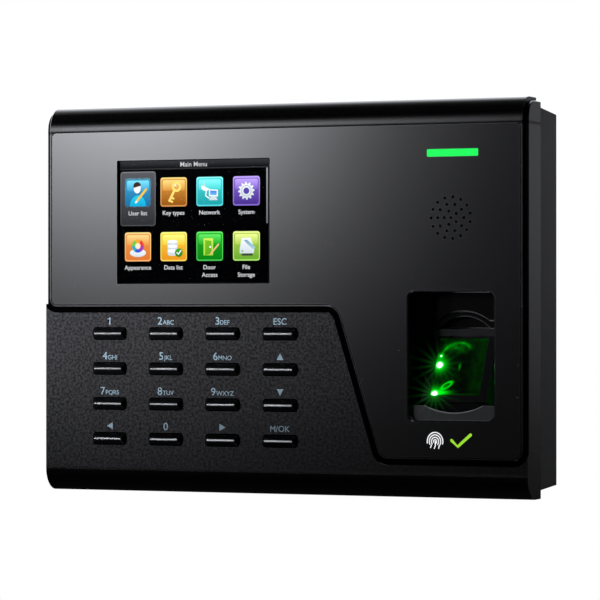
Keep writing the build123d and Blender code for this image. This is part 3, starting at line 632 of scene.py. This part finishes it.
def text_mesh(text, height, bold):
    """The text as a flat mesh in X and Z, cap height as given, left end at x = 0, base at z = 0."""
    curve = bpy.data.curves.new("letters", "FONT")
    curve.body = text
    curve.size = height / CAP_SHARE
    curve.offset = bold * height
    curve.resolution_u = 6
    holder = bpy.data.objects.new("letters", curve)
    bpy.context.scene.collection.objects.link(holder)
    depsgraph = bpy.context.evaluated_depsgraph_get()
    mesh = bpy.data.meshes.new_from_object(holder.evaluated_get(depsgraph))
    bpy.data.objects.remove(holder)
    bpy.data.curves.remove(curve)
    xs = [v.co.x for v in mesh.vertices]
    low, high = min(xs), max(xs)
    for v in mesh.vertices:
        v.co = Vector((v.co.x - low, 0, v.co.y))
    return mesh, high - low


def join_text(name, parts, x_mid, base_z, front, thick=0.0, bold=0.012):
    """Lays texts side by side on one base line, centred on x_mid. A part is (text, cap height)."""
    gap = 0.28 * MM
    made = [text_mesh(text, height, bold) for text, height in parts]
    total = sum(width for _, width in made) + gap * (len(made) - 1)
    bm = bmesh.new()
    x = x_mid - total / 2
    for mesh, width in made:
        first = len(bm.verts)
        bm.from_mesh(mesh)
        bm.verts.ensure_lookup_table()
        for v in bm.verts[first:]:
            v.co += Vector((x, front, base_z))
        x += width + gap
    if thick:
        thicken(bm, bm.faces[:], thick)
    return finish_mesh(name, bm, outward=thick > 0)


moulded("legend_ink", (0.085, 0.118, 0.136), 0.5, grain=0.3, depth=0.004, mottle=0.35)
# Painted light: the white and lime print glows a little of its own.
white_glow = {"Emission_Color": (1, 1, 1), "Emission_Strength": 0.55}
moulded("white_ink", (0.8, 0.8, 0.8), 0.4, grain=0.3, depth=0.002, **white_glow)
lime_glow = {"Emission_Color": (0.36, 0.8, 0.02), "Emission_Strength": 0.6}
moulded("lime_ink", (0.3, 0.66, 0.02), 0.4, grain=0.3, depth=0.002, **lime_glow)

DIGIT, LETTERS = 2.8, 1.65  # cap heights in mm
# Each key's mark: texts with their cap heights, a direction for an arrow, or None for key_1, whose
# mark is drawn as a stroke.
KEYS = {
    "key_1": None,
    "key_2": (("2", DIGIT), ("ABC", LETTERS)),
    "key_3": (("3", DIGIT), ("DEF", LETTERS)),
    "key_esc": (("ESC", 2.35),),
    "key_4": (("4", DIGIT), ("GHI", LETTERS)),
    "key_5": (("5", DIGIT), ("JKL", LETTERS)),
    "key_6": (("6", DIGIT), ("MNO", LETTERS)),
    "key_up": (0, 1),
    "key_7": (("7", DIGIT), ("PQRS", LETTERS)),
    "key_8": (("8", DIGIT), ("TUV", LETTERS)),
    "key_9": (("9", DIGIT), ("WXYZ", LETTERS)),
    "key_down": (0, -1),
    "key_left": (-1, 0),
    "key_0": (("0", DIGIT),),
    "key_right": (1, 0),
    "key_ok": (("M/OK", 2.2),),
}
SLOT_HALF_Z = 2.15 * MM
LEGEND_GAP = 1.15 * MM  # between a key's slot and its legend
INK = 0.015 * MM  # thickness of the print


def arrow(x, z, dx, dz):
    """Triangle of a direction key, pointing along dx, dz."""
    half, length = 1.3 * MM, 2.4 * MM
    tip = (x + dx * length / 2, z + dz * length / 2)
    back = (x - dx * length / 2, z - dz * length / 2)
    return [tip, (back[0] - dz * half, back[1] + dx * half), (back[0] + dz * half, back[1] - dx * half)]


for key, mark in KEYS.items():
    x, z = middle(key)
    base = z + SLOT_HALF_Z + LEGEND_GAP
    if mark is None:
        stroke = [(x - 0.75 * MM, base + 1.95 * MM), (x, base + 2.6 * MM), (x, base)]
        mesh = flat_mesh("legend_" + key, [ribbon(stroke, 0.42 * MM)], FRONT, INK)
    elif isinstance(mark[0], tuple):
        parts = [(text, size * MM) for text, size in mark]
        mesh = join_text("legend_" + key, parts, x, base, FRONT, INK)
    else:
        mesh = flat_mesh("legend_" + key, [arrow(x, base + 1.3 * MM, *mark)], FRONT, INK)
    piece("legend_" + key, mesh, "legend_ink", smooth=False)


# ---- Key foils ----------------------------------------------------------------------------
FOIL = (10.9 * MM, 0.66 * MM, 0.3 * MM)  # width, height and corner radius
# Rings of a foil from its turned-down rim inwards: 1 less the inset, and the place behind the key's
# crest, both in mm
FOIL_RINGS = ((1.0, 0.1), (1.0, 0.0), (0.97, -0.035), (0.9, -0.045))
HAIR = 0.01 * MM


def foil_mesh(name, x, z, crest):
    """A thin metal strip wrapped over the crest of a key: flat on top, turned down at its rim."""
    width, height, r = FOIL
    bm = bmesh.new()
    loops = []
    for grow, drop in FOIL_RINGS:
        w, h = width - (1 - grow) * 2 * MM, height - (1 - grow) * 2 * MM
        points = rounded(x, z, w, h, min(r, h / 2 - HAIR), 5)
        loops.append([bm.verts.new((px, crest + drop * MM, pz)) for px, pz in points])
    for a, b in zip(loops, loops[1:]):
        for n in range(len(a)):
            m = (n + 1) % len(a)
            bm.faces.new((a[n], a[m], b[m], b[n]))
    bm.faces.new(loops[-1])
    return finish_mesh(name, bm)


for key in KEYS:
    mesh = foil_mesh("foil_" + key, *middle(key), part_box(key)[0].y)
    piece("foil_" + key, mesh, "key_foil", key)


# ---- Key membrane -------------------------------------------------------------------------
def lathe(name, x, z, profile, steps=40):
    """Turns (radius, y) points about the axis through x, z that runs along Y."""
    bm = bmesh.new()
    rings = []
    for r, y in profile:
        if r == 0:
            rings.append([bm.verts.new((x, y, z))])
            continue
        turns = (2 * PI * n / steps for n in range(steps))
        rings.append([bm.verts.new((x + r * math.cos(t), y, z + r * math.sin(t))) for t in turns])
    for a, b in zip(rings, rings[1:]):
        for n in range(steps):
            m = (n + 1) % steps
            corners = (a[n % len(a)], a[m % len(a)], b[m % len(b)], b[n % len(b)])
            unique = list(dict.fromkeys(corners))
            if len(unique) > 2:
                bm.faces.new(unique)
    return finish_mesh(name, bm)


SHEET = 1.0 * MM  # thickness of the silicone sheet
SHEET_FRONT = mem_high.y - SHEET
DOME_TOP = mem_low.y
# A dome's side: radius in mm, and share of its height
DOME = ((3.7, 0), (3.45, 0.06), (3.1, 0.3), (2.8, 0.62), (2.5, 0.86), (2.2, 0.97), (1.9, 1.0), (0, 1.0))


def membrane():
    """The silicone sheet, and one collapsing dome for each key."""
    width, height = mem_high.x - mem_low.x, mem_high.z - mem_low.z
    outline = rounded(*middle("key_membrane"), width, height, 2 * MM)
    mesh = flat_mesh("membrane_sheet", [outline], mem_high.y, SHEET)
    sheet = piece("membrane_sheet", mesh, "membrane_silicone")
    bevel = sheet.modifiers.new("edge", "BEVEL")
    bevel.width, bevel.segments, bevel.limit_method = 0.25 * MM, 3, "ANGLE"
    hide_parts("key_membrane")
    profile = [(r * MM, SHEET_FRONT + (DOME_TOP - SHEET_FRONT) * share) for r, share in DOME]
    for key in KEYS:
        mesh = lathe("dome_" + key, *middle(key), profile)
        dome = piece("dome_" + key, mesh, "membrane_silicone")
        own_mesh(dome)


membrane()


# ---- Picture on the display ---------------------------------------------------------------
PIXEL = 0.18 * MM


def screen_light():
    """Backlit pixels: the colour drawn on the mesh, with a fine pixel grid and slight unevenness."""
    look = Look("screen_picture")
    colour = look.node("VertexColor", layer_name="glow").outputs["Color"]
    x, _, z = look.split(look.at)
    columns = look.math("SINE", look.mul(x, 2 * PI / PIXEL))
    rows = look.math("SINE", look.mul(z, 2 * PI / PIXEL))
    uneven = look.mul(look.noise(look.at, 45, 2), 0.06)
    grid = look.add(0.965, look.mul(columns, rows, 0.03), uneven)
    dim = look.node("VectorMath", {"Scale": 0.02}, operation="SCALE")
    look.feed(dim.inputs[0], colour)
    look.set(Base_Color=dim.outputs[0], Roughness=look.add(0.35, look.mul(rows, 0.02)))
    look.set(Emission_Color=colour, Emission_Strength=grid, Specular_IOR_Level=0.0)


screen_light()
SCREEN_LEFT = lens_low.x + 1.7 * MM
SCREEN_TOP = lens_high.z - 1.7 * MM
SCREEN_W = 58.9 * MM
SCREEN_H = 44.2 * MM
LAYER = 0.02 * MM  # step between the picture's layers
TILE_U, TILE_V = 0.089, 0.119  # half a tile's width and height, in screen shares


class Picture:
    """Flat shapes in screen shares, (0, 0) top left and (1, 1) bottom right, stacked in layers."""

    def __init__(self, name):
        self.name = name
        self.faces = []

    def place(self, u, v):
        return SCREEN_LEFT + u * SCREEN_W, SCREEN_TOP - v * SCREEN_H

    def shape(self, points, colour, layer, shade=None):
        """points in screen shares; shade is an optional second colour reached at the bottom."""
        top = min(v for _, v in points)
        tall = max(v for _, v in points) - top
        corners = []
        for u, v in points:
            share = (v - top) / tall if tall else 0
            tone = [a + (b - a) * share for a, b in zip(colour, shade or colour)]
            corners.append((*self.place(u, v), tone))
        self.faces.append((corners, layer))

    def box(self, u0, v0, u1, v1, r, colour, layer, shade=None):
        aspect = SCREEN_W / SCREEN_H
        mid = ((u0 + u1) / 2, (v0 + v1) / 2)
        points = rounded(0, 0, u1 - u0, (v1 - v0) / aspect, r, 5)
        self.shape([(mid[0] + a, mid[1] - b * aspect) for a, b in points], colour, layer, shade)

    def build(self):
        mesh = bpy.data.meshes.new(self.name)
        verts, faces, tones = [], [], []
        for corners, layer in self.faces:
            start = len(verts)
            verts += [(x, LCD_FRONT - (layer + 1) * LAYER, z) for x, z, _ in corners]
            area = sum(a[0] * b[1] - b[0] * a[1] for a, b in zip(corners, corners[1:] + corners[:1]))
            order = list(range(start, start + len(corners)))
            faces.append(order if area > 0 else order[::-1])
            tones += [corners[n - start][2] for n in faces[-1]]
        mesh.from_pydata(verts, [], faces)
        glow = mesh.color_attributes.new("glow", "FLOAT_COLOR", "CORNER")
        for item, tone in zip(glow.data, tones):
            item.color = (*linear(*tone), 1)
        return mesh


class Tile:
    """Draws an icon in a tile's own square, from -1 to 1 with +1 at the top."""

    def __init__(self, picture, u, v):
        self.picture, self.u, self.v = picture, u, v

    def to(self, points):
        return [(self.u + x * TILE_U, self.v - y * TILE_V) for x, y in points]

    def shape(self, points, colour, layer=4, shade=None):
        self.picture.shape(self.to(points), colour, layer, shade)

    def disc(self, x, y, rx, ry, colour, layer=4, shade=None, start=0, end=360):
        points = arc_points(x, y, rx, ry, start, end, 28)
        self.shape(points if end - start < 360 else points[:-1], colour, layer, shade)

    def stroke(self, points, width, colour, layer=4):
        self.shape(ribbon(points, width), colour, layer)

    def ring(self, x, y, r, width, colour, layer=4, start=0, end=360):
        steps = 24
        outer = arc_points(x, y, r + width / 2, r + width / 2, start, end, steps)
        inner = arc_points(x, y, r - width / 2, r - width / 2, start, end, steps)
        for n in range(steps):
            self.shape([outer[n], outer[n + 1], inner[n + 1], inner[n]], colour, layer)


WHITE, PALE, GREY = (250, 252, 255), (214, 222, 228), (150, 158, 166)


def icon_person(t):
    t.shape(arc_points(0, -0.95, 0.62, 0.75, 0, 180), (40, 205, 235), 4, (20, 170, 215))
    t.disc(-0.05, 0.3, 0.27, 0.36, (250, 240, 225), 5, WHITE)
    t.shape(arc_points(-0.05, 0.42, 0.3, 0.3, 10, 200), (60, 45, 35), 6)
    t.stroke([(-0.1, -0.62), (0.62, 0.2)], 0.17, (250, 200, 60), 6)
    t.stroke([(-0.16, -0.69), (-0.1, -0.62)], 0.12, WHITE, 7)


def icon_key(t):
    gold = (255, 226, 120)
    t.ring(0.22, 0.35, 0.27, 0.17, gold, 4)
    t.stroke([(0.08, 0.14), (-0.32, -0.6)], 0.17, gold, 5)
    t.stroke([(-0.2, -0.38), (0.0, -0.46)], 0.14, gold, 5)
    t.stroke([(-0.31, -0.58), (-0.1, -0.68)], 0.14, gold, 5)
    t.disc(0.14, 0.45, 0.08, 0.06, WHITE, 6)


def icon_network(t):
    t.shape([(-0.05, 0.15), (0.62, 0.1), (0.62, -0.36), (-0.05, -0.34)], WHITE, 4)
    t.shape([(0.04, 0.06), (0.53, 0.03), (0.53, -0.27), (0.04, -0.25)], (60, 120, 220), 5, (120, 190, 250))
    t.shape([(0.1, -0.36), (0.46, -0.36), (0.62, -0.6), (-0.06, -0.6)], PALE, 4)
    t.shape(arc_points(-0.3, 0.3, 0.34, 0.26, 150, 330), WHITE, 4)
    t.stroke([(-0.32, 0.3), (-0.48, 0.62)], 0.07, PALE, 5)
    t.stroke([(-0.24, 0.1), (-0.3, -0.3), (-0.05, -0.45)], 0.09, WHITE, 4)


def icon_gear(t):
    teeth, steps = [], 48
    for n in range(steps):
        turn = 2 * PI * n / steps
        r = 0.62 if n % 4 < 2 else 0.48
        teeth.append((r * math.cos(turn), r * math.sin(turn)))
    t.shape(teeth, WHITE, 4, PALE)
    t.disc(0, 0, 0.22, 0.22, (92, 70, 168), 5)
    t.ring(0, 0, 0.36, 0.035, GREY, 5)


def icon_colours(t):
    t.disc(0, -0.42, 0.62, 0.28, WHITE, 4, PALE)
    hues = ((235, 60, 60), (250, 170, 50), (110, 200, 70), (40, 170, 190), (60, 90, 210), (170, 60, 180))
    for n, hue in enumerate(hues):
        t.ring(0, 0.06, 0.34, 0.24, hue, 5, 60 * n, 60 * n + 60)
    t.disc(0, 0.06, 0.2, 0.2, (255, 236, 200), 6)


def icon_records(t):
    for level in (-0.42, -0.1, 0.22):
        low, high = level - 0.1, level + 0.12
        t.shape([(-0.46, high), (0.3, high), (0.3, low), (-0.46, low)], PALE, 4)
        t.disc(-0.08, low, 0.38, 0.12, PALE, 4)
        t.disc(-0.08, high, 0.38, 0.12, WHITE, 5)
    t.disc(0.4, -0.42, 0.3, 0.3, (70, 170, 50), 6, (40, 130, 30))
    t.stroke([(0.26, -0.42), (0.36, -0.54), (0.55, -0.28)], 0.09, WHITE, 7)


def icon_door(t):
    t.shape([(-0.46, 0.55), (0.26, 0.55), (0.26, -0.62), (-0.46, -0.62)], (210, 240, 90), 4, (170, 220, 60))
    t.shape([(-0.34, 0.43), (0.14, 0.36), (0.14, -0.5), (-0.34, -0.62)], (120, 190, 40), 5, (96, 170, 30))
    t.disc(0.04, -0.05, 0.07, 0.07, WHITE, 6)
    t.stroke([(0.1, -0.5), (0.66, 0.12)], 0.12, (240, 190, 130), 6)


def icon_storage(t):
    drive = [(-0.5, -0.5), (0.56, -0.5), (0.6, -0.2), (0.32, 0.55), (-0.34, 0.55), (-0.5, -0.2)]
    sweep = [(-0.2, 0.4), (0.05, 0.42), (0.7, -0.1), (0.5, -0.24), (0.1, 0.1)]
    t.shape(drive, WHITE, 4, PALE)
    t.shape([(-0.34, -0.52), (0.46, -0.52), (0.46, -0.66), (-0.34, -0.66)], (60, 66, 60), 4)
    t.shape(sweep, (120, 170, 190), 5, (180, 215, 225))
    t.disc(-0.3, -0.34, 0.08, 0.06, (110, 190, 60), 5)


TILES = (
    (icon_person, "User list", (60, 160, 205), (30, 110, 160)),
    (icon_key, "Key types", (225, 150, 60), (150, 84, 20)),
    (icon_network, "Network", (70, 215, 210), (30, 160, 165)),
    (icon_gear, "System", (130, 100, 205), (74, 48, 140)),
    (icon_colours, "Appearance", (240, 150, 70), (225, 120, 50)),
    (icon_records, "Data list", (250, 205, 60), (235, 150, 30)),
    (icon_door, "Door/Access", (30, 165, 30), (10, 130, 20)),
    (icon_storage, "File/Storage", (175, 210, 80), (110, 170, 50)),
)
COLUMNS = (0.122, 0.365, 0.608, 0.853)
ROWS = (0.256, 0.702)


def draw_screen():
    """Title bar, scroll bar, the selected tile's frame, then the tiles and their icons."""
    base = Picture("screen_backdrop")
    base.box(0, 0, 1, 1, 0.006, (1, 1, 2), 0)
    base.box(0, 0, 1, 0.062, 0.004, (52, 54, 57), 1, (14, 14, 15))
    base.box(0, 0.062, 1, 0.07, 0.0005, (70, 71, 74), 1, (14, 14, 15))
    base.box(0.003, 0.085, 0.242, 0.53, 0.016, (128, 129, 133), 1, (84, 85, 88))
    base.box(0.008, 0.093, 0.237, 0.523, 0.012, (88, 89, 93), 2, (46, 47, 50))
    base.box(0.985, 0.07, 0.995, 0.52, 0.003, (150, 152, 156), 1, (110, 112, 116))
    piece("screen_backdrop", base.build(), "screen_picture", smooth=False)
    tiles, icons = Picture("screen_tiles"), Picture("screen_icons")
    for n, (icon, _, top, bottom) in enumerate(TILES):
        u, v = COLUMNS[n % 4], ROWS[n // 4]
        light, rim = [min(255, c + 70) for c in top], [min(255, c + 60) for c in bottom]
        tiles.box(u - TILE_U, v - TILE_V, u + TILE_U, v + TILE_V, 0.016, light, 2, rim)
        tiles.box(u - 0.083, v - 0.106, u + 0.083, v + 0.108, 0.013, top, 3, bottom)
        tiles.box(u - 0.075, v - 0.098, u + 0.075, v - 0.012, 0.01, light, 3.4, top)
        icon(Tile(icons, u, v))
    piece("screen_tiles", tiles.build(), "screen_picture", smooth=False)
    piece("screen_icons", icons.build(), "screen_picture", smooth=False)


def label(name, text, u, v, cap, tone):
    """White words on the screen. v is the base line."""
    x, z = SCREEN_LEFT + u * SCREEN_W, SCREEN_TOP - v * SCREEN_H
    mesh = join_text(name, [(text, cap)], x, z, LCD_FRONT - 6 * LAYER, bold=0.008)
    glow = mesh.color_attributes.new("glow", "FLOAT_COLOR", "CORNER")
    for item in glow.data:
        item.color = (*linear(tone, tone, tone), 1)
    piece(name, mesh, "screen_picture", smooth=False)


draw_screen()
label("screen_title", "Main Menu", 0.5, 0.05, 1.75 * MM, 205)
for n, (_, words, _, _) in enumerate(TILES):
    for line, word in enumerate(words.split("/")):
        down = ROWS[n // 4] + 0.187 + 0.062 * line
        label(f"screen_word_{n + 1}_{line + 1}", word, COLUMNS[n % 4], down, 1.6 * MM, 225)


# ---- Fingerprint pictogram ----------------------------------------------------------------
PICTO_X, PICTO_Z = panel_high.x - 26.45 * MM, panel_low.z + 5.65 * MM  # its middle
PICTO_SCALE = 1.25
RIDGES = ((-70, 200), (-40, 215), (-25, 205), (-15, 190))  # each ridge's start and end, in degrees
TAILS = (((0.05, 0), (0.1, -1.1), (-0.25, -1.9)), ((-1.07, -1.0), (-1.35, -1.7)), ((1.3, -1.0), (1.05, -1.9)))
TICK = ((-2.6, 0.3), (-0.8, -1.4), (3.0, 1.9))


def pictogram():
    """A generic fingerprint in white beside a lime tick."""
    cx, cz, unit = PICTO_X - 5.0 * MM, PICTO_Z - 0.1 * MM, PICTO_SCALE * MM
    pen = 0.32 * unit
    strokes = []
    for n, (start, end) in enumerate(RIDGES):
        r = (0.45 + 0.62 * n) * unit
        strokes.append(ribbon(arc_points(cx, cz, r, r * 1.1, start, end), pen))
    for tail in TAILS:
        strokes.append(ribbon([(cx + du * unit, cz + dv * unit) for du, dv in tail], pen))
    mesh = flat_mesh("pictogram_finger", strokes, FRONT, INK)
    piece("pictogram_finger", mesh, "white_ink", smooth=False)
    tx, tz = PICTO_X + 4.4 * MM, PICTO_Z
    path = [(tx + du * unit, tz + dv * unit) for du, dv in TICK]
    mesh = flat_mesh("pictogram_tick", [ribbon(path, 0.85 * unit)], FRONT, INK)
    piece("pictogram_tick", mesh, "lime_ink", smooth=False)


pictogram()


# ---- Studio -------------------------------------------------------------------------------
FLOOR_RADIUS, FLOOR_Z = 9, -1.2


def studio_floor():
    """A pale sweep far below the object; the camera sees it as a lit white studio floor."""
    at = (0, 0, FLOOR_Z)
    bpy.ops.mesh.primitive_circle_add(vertices=64, radius=FLOOR_RADIUS, fill_type="NGON", location=at)
    floor = bpy.context.object
    floor.name = "studio_floor"
    look = Look("floor_paint")
    tone = look.mix(look.mul(look.noise(look.at, 3, 2), 0.2), (0.02, 0.02, 0.02), (0.015, 0.015, 0.015))
    look.set(Base_Color=tone, Roughness=look.add(0.7, look.mul(look.noise(look.at, 60), 0.1)))
    level = look.add(0.985, look.mul(look.noise(look.at, 2), 0.02))
    glow = look.node("Emission", {"Color": (1, 1, 1), "Strength": level})
    seen = look.node("LightPath").outputs["Is Camera Ray"]
    look.feed(look.out.inputs["Surface"], look.blend(seen, look.bsdf, glow))
    floor.data.materials.append(look.mat)
    floor.visible_glossy = floor.visible_diffuse = floor.visible_shadow = False


# The softbox is a soft patch of the world in front of the object.
SOFTBOX = (-0.4386, 0.1023)  # where the softbox is seen, as a direction's X and Z
SOFTBOX_TIGHT = (21.0, 15.5, 7.5)  # how fast it falls off sideways, downwards and upwards
# Lamps: where they stand, where they point, cone in radians, and radius.
LAMPS = {
    "keypad_spot": ((-0.306, -0.422, -0.011), (-0.097, -0.04, 0.153), 1.082, 0.02),
    "side_top": ((0.5, -0.03, 0.45), (0.093, -0.025, 0.06), 0.35, 0.05),
    "rear_lamp": ((-0.35, 0.9, 0.45), (0.0, 0.0, 0.0), 0.4, 0.15),
    "under_lamp": ((-0.1, 0.35, -0.6), (0.0, -0.01, -0.06), 0.5, 0.1),
}
STRENGTH = {
    "ambient": 0.012,
    "softbox": 18.5,
    "front_band": 0.06,
    "back_wall": 2.7,
    "back_right": 0.26,
    "end_panels": 1.0,
    "keypad_spot": 88.0,
    "side_top": 3.0,
    "rear_lamp": 260.0,
    "under_lamp": 60.0,
}
COOL = (0.94, 0.95, 1.0)


def studio_world():
    """White to the camera; for light and reflections, a dim room with soft lights in it."""
    world = bpy.data.worlds.new("studio")
    bpy.context.scene.world = world
    world.use_nodes = True
    tree = Tree(world.node_tree)
    out = world.node_tree.nodes["World Output"]
    x, y, z = tree.split(tree.node("TexCoord").outputs["Generated"])
    front, back = tree.step(y, 0.02, -0.1), tree.step(y, -0.05, 0.1)
    across = tree.mul(tree.add(x, -SOFTBOX[0]), SOFTBOX_TIGHT[0])
    above = tree.mul(tree.math("MAXIMUM", tree.add(z, -SOFTBOX[1]), 0), SOFTBOX_TIGHT[2])
    below = tree.mul(tree.math("MINIMUM", tree.add(z, -SOFTBOX[1]), 0), SOFTBOX_TIGHT[1])
    spread = tree.add(tree.mul(across, across), tree.mul(above, above), tree.mul(below, below))
    softbox = tree.mul(tree.math("EXPONENT", tree.mul(spread, -1)), front, STRENGTH["softbox"])
    band = tree.mul(tree.step(z, -0.22, -0.06), tree.step(z, 0.6, 0.25), front, STRENGTH["front_band"])
    height = tree.mul(tree.step(z, -0.07, 0.05), tree.step(z, 0.95, 0.65), back)
    dimmer = tree.mul(tree.step(x, 0, 0.25), STRENGTH["back_right"] - STRENGTH["back_wall"])
    wall = tree.mul(height, tree.add(dimmer, STRENGTH["back_wall"]))
    level = tree.add(softbox, band, wall, STRENGTH["ambient"])
    ends = ((x, 0.95, 0.99), (x, -0.93, -0.98), (z, 0.95, 0.985), (z, -0.965, -0.99))
    for along, low, high in ends:
        end = tree.mul(tree.step(along, low, high), tree.step(y, -0.4, -0.25), STRENGTH["end_panels"])
        level = tree.add(level, end)
    room = tree.node("Background", {"Color": COOL, "Strength": level})
    white = tree.node("Background", {"Color": (1, 1, 1), "Strength": 1.0})
    seen = tree.node("LightPath").outputs["Is Camera Ray"]
    tree.feed(out.inputs["Surface"], tree.blend(seen, room, white))


def lamp(name, at, aim, cone, radius):
    data = bpy.data.lights.new(name, "SPOT")
    data.energy = STRENGTH[name]
    data.color = COOL
    data.spot_size, data.spot_blend, data.shadow_soft_size = cone, 1.0, radius
    obj = bpy.data.objects.new(name, data)
    bpy.context.scene.collection.objects.link(obj)
    obj.visible_glossy = obj.visible_camera = False
    obj.location = at
    obj.rotation_euler = (Vector(aim) - Vector(at)).to_track_quat("-Z", "Y").to_euler()


studio_floor()
studio_world()
for name, place in LAMPS.items():
    lamp(name, *place)

CAMERA_AT = (0.464407, -1.111676, -0.006053)
CAMERA_YAW = math.radians(23.0643)
CAMERA_PITCH = math.radians(90.267)
CAMERA_LENS, SENSOR_WIDTH = 197.2055, 36  # mm
camera_data = bpy.data.cameras.new("camera")
camera_data.lens = CAMERA_LENS
camera_data.sensor_width = SENSOR_WIDTH
camera = bpy.data.objects.new("camera", camera_data)
bpy.context.scene.collection.objects.link(camera)
camera.location = CAMERA_AT
camera.rotation_euler = (CAMERA_PITCH, 0, CAMERA_YAW)
bpy.context.scene.camera = camera
bpy.context.scene.view_settings.view_transform = "Standard"

STAR_LEVEL = 4.0  # only what is brighter than this draws a star
STAR = {"Strength": 0.11, "Streaks": 16, "Streaks Angle": 0.12, "Fade": 0.84, "Iterations": 3}
STAR_COLOUR = {"Color Modulation": 0.0, "Tint": (0.0, 1.0, 0.04, 1), "Saturation": 1.0}


def lens_stars():
    """The camera lens draws a many-rayed green star round each bare light source."""
    scene = bpy.context.scene
    scene.use_nodes = True
    tree = scene.node_tree
    tree.nodes.clear()
    layers = tree.nodes.new("CompositorNodeRLayers")
    out = tree.nodes.new("CompositorNodeComposite")
    glare = tree.nodes.new("CompositorNodeGlare")
    glare.glare_type, glare.quality = "STREAKS", "HIGH"
    for key, value in {"Threshold": STAR_LEVEL, **STAR, **STAR_COLOUR}.items():
        glare.inputs[key].default_value = value
    tree.links.new(layers.outputs["Image"], glare.inputs["Image"])
    tree.links.new(glare.outputs["Image"], out.inputs["Image"])


lens_stars()
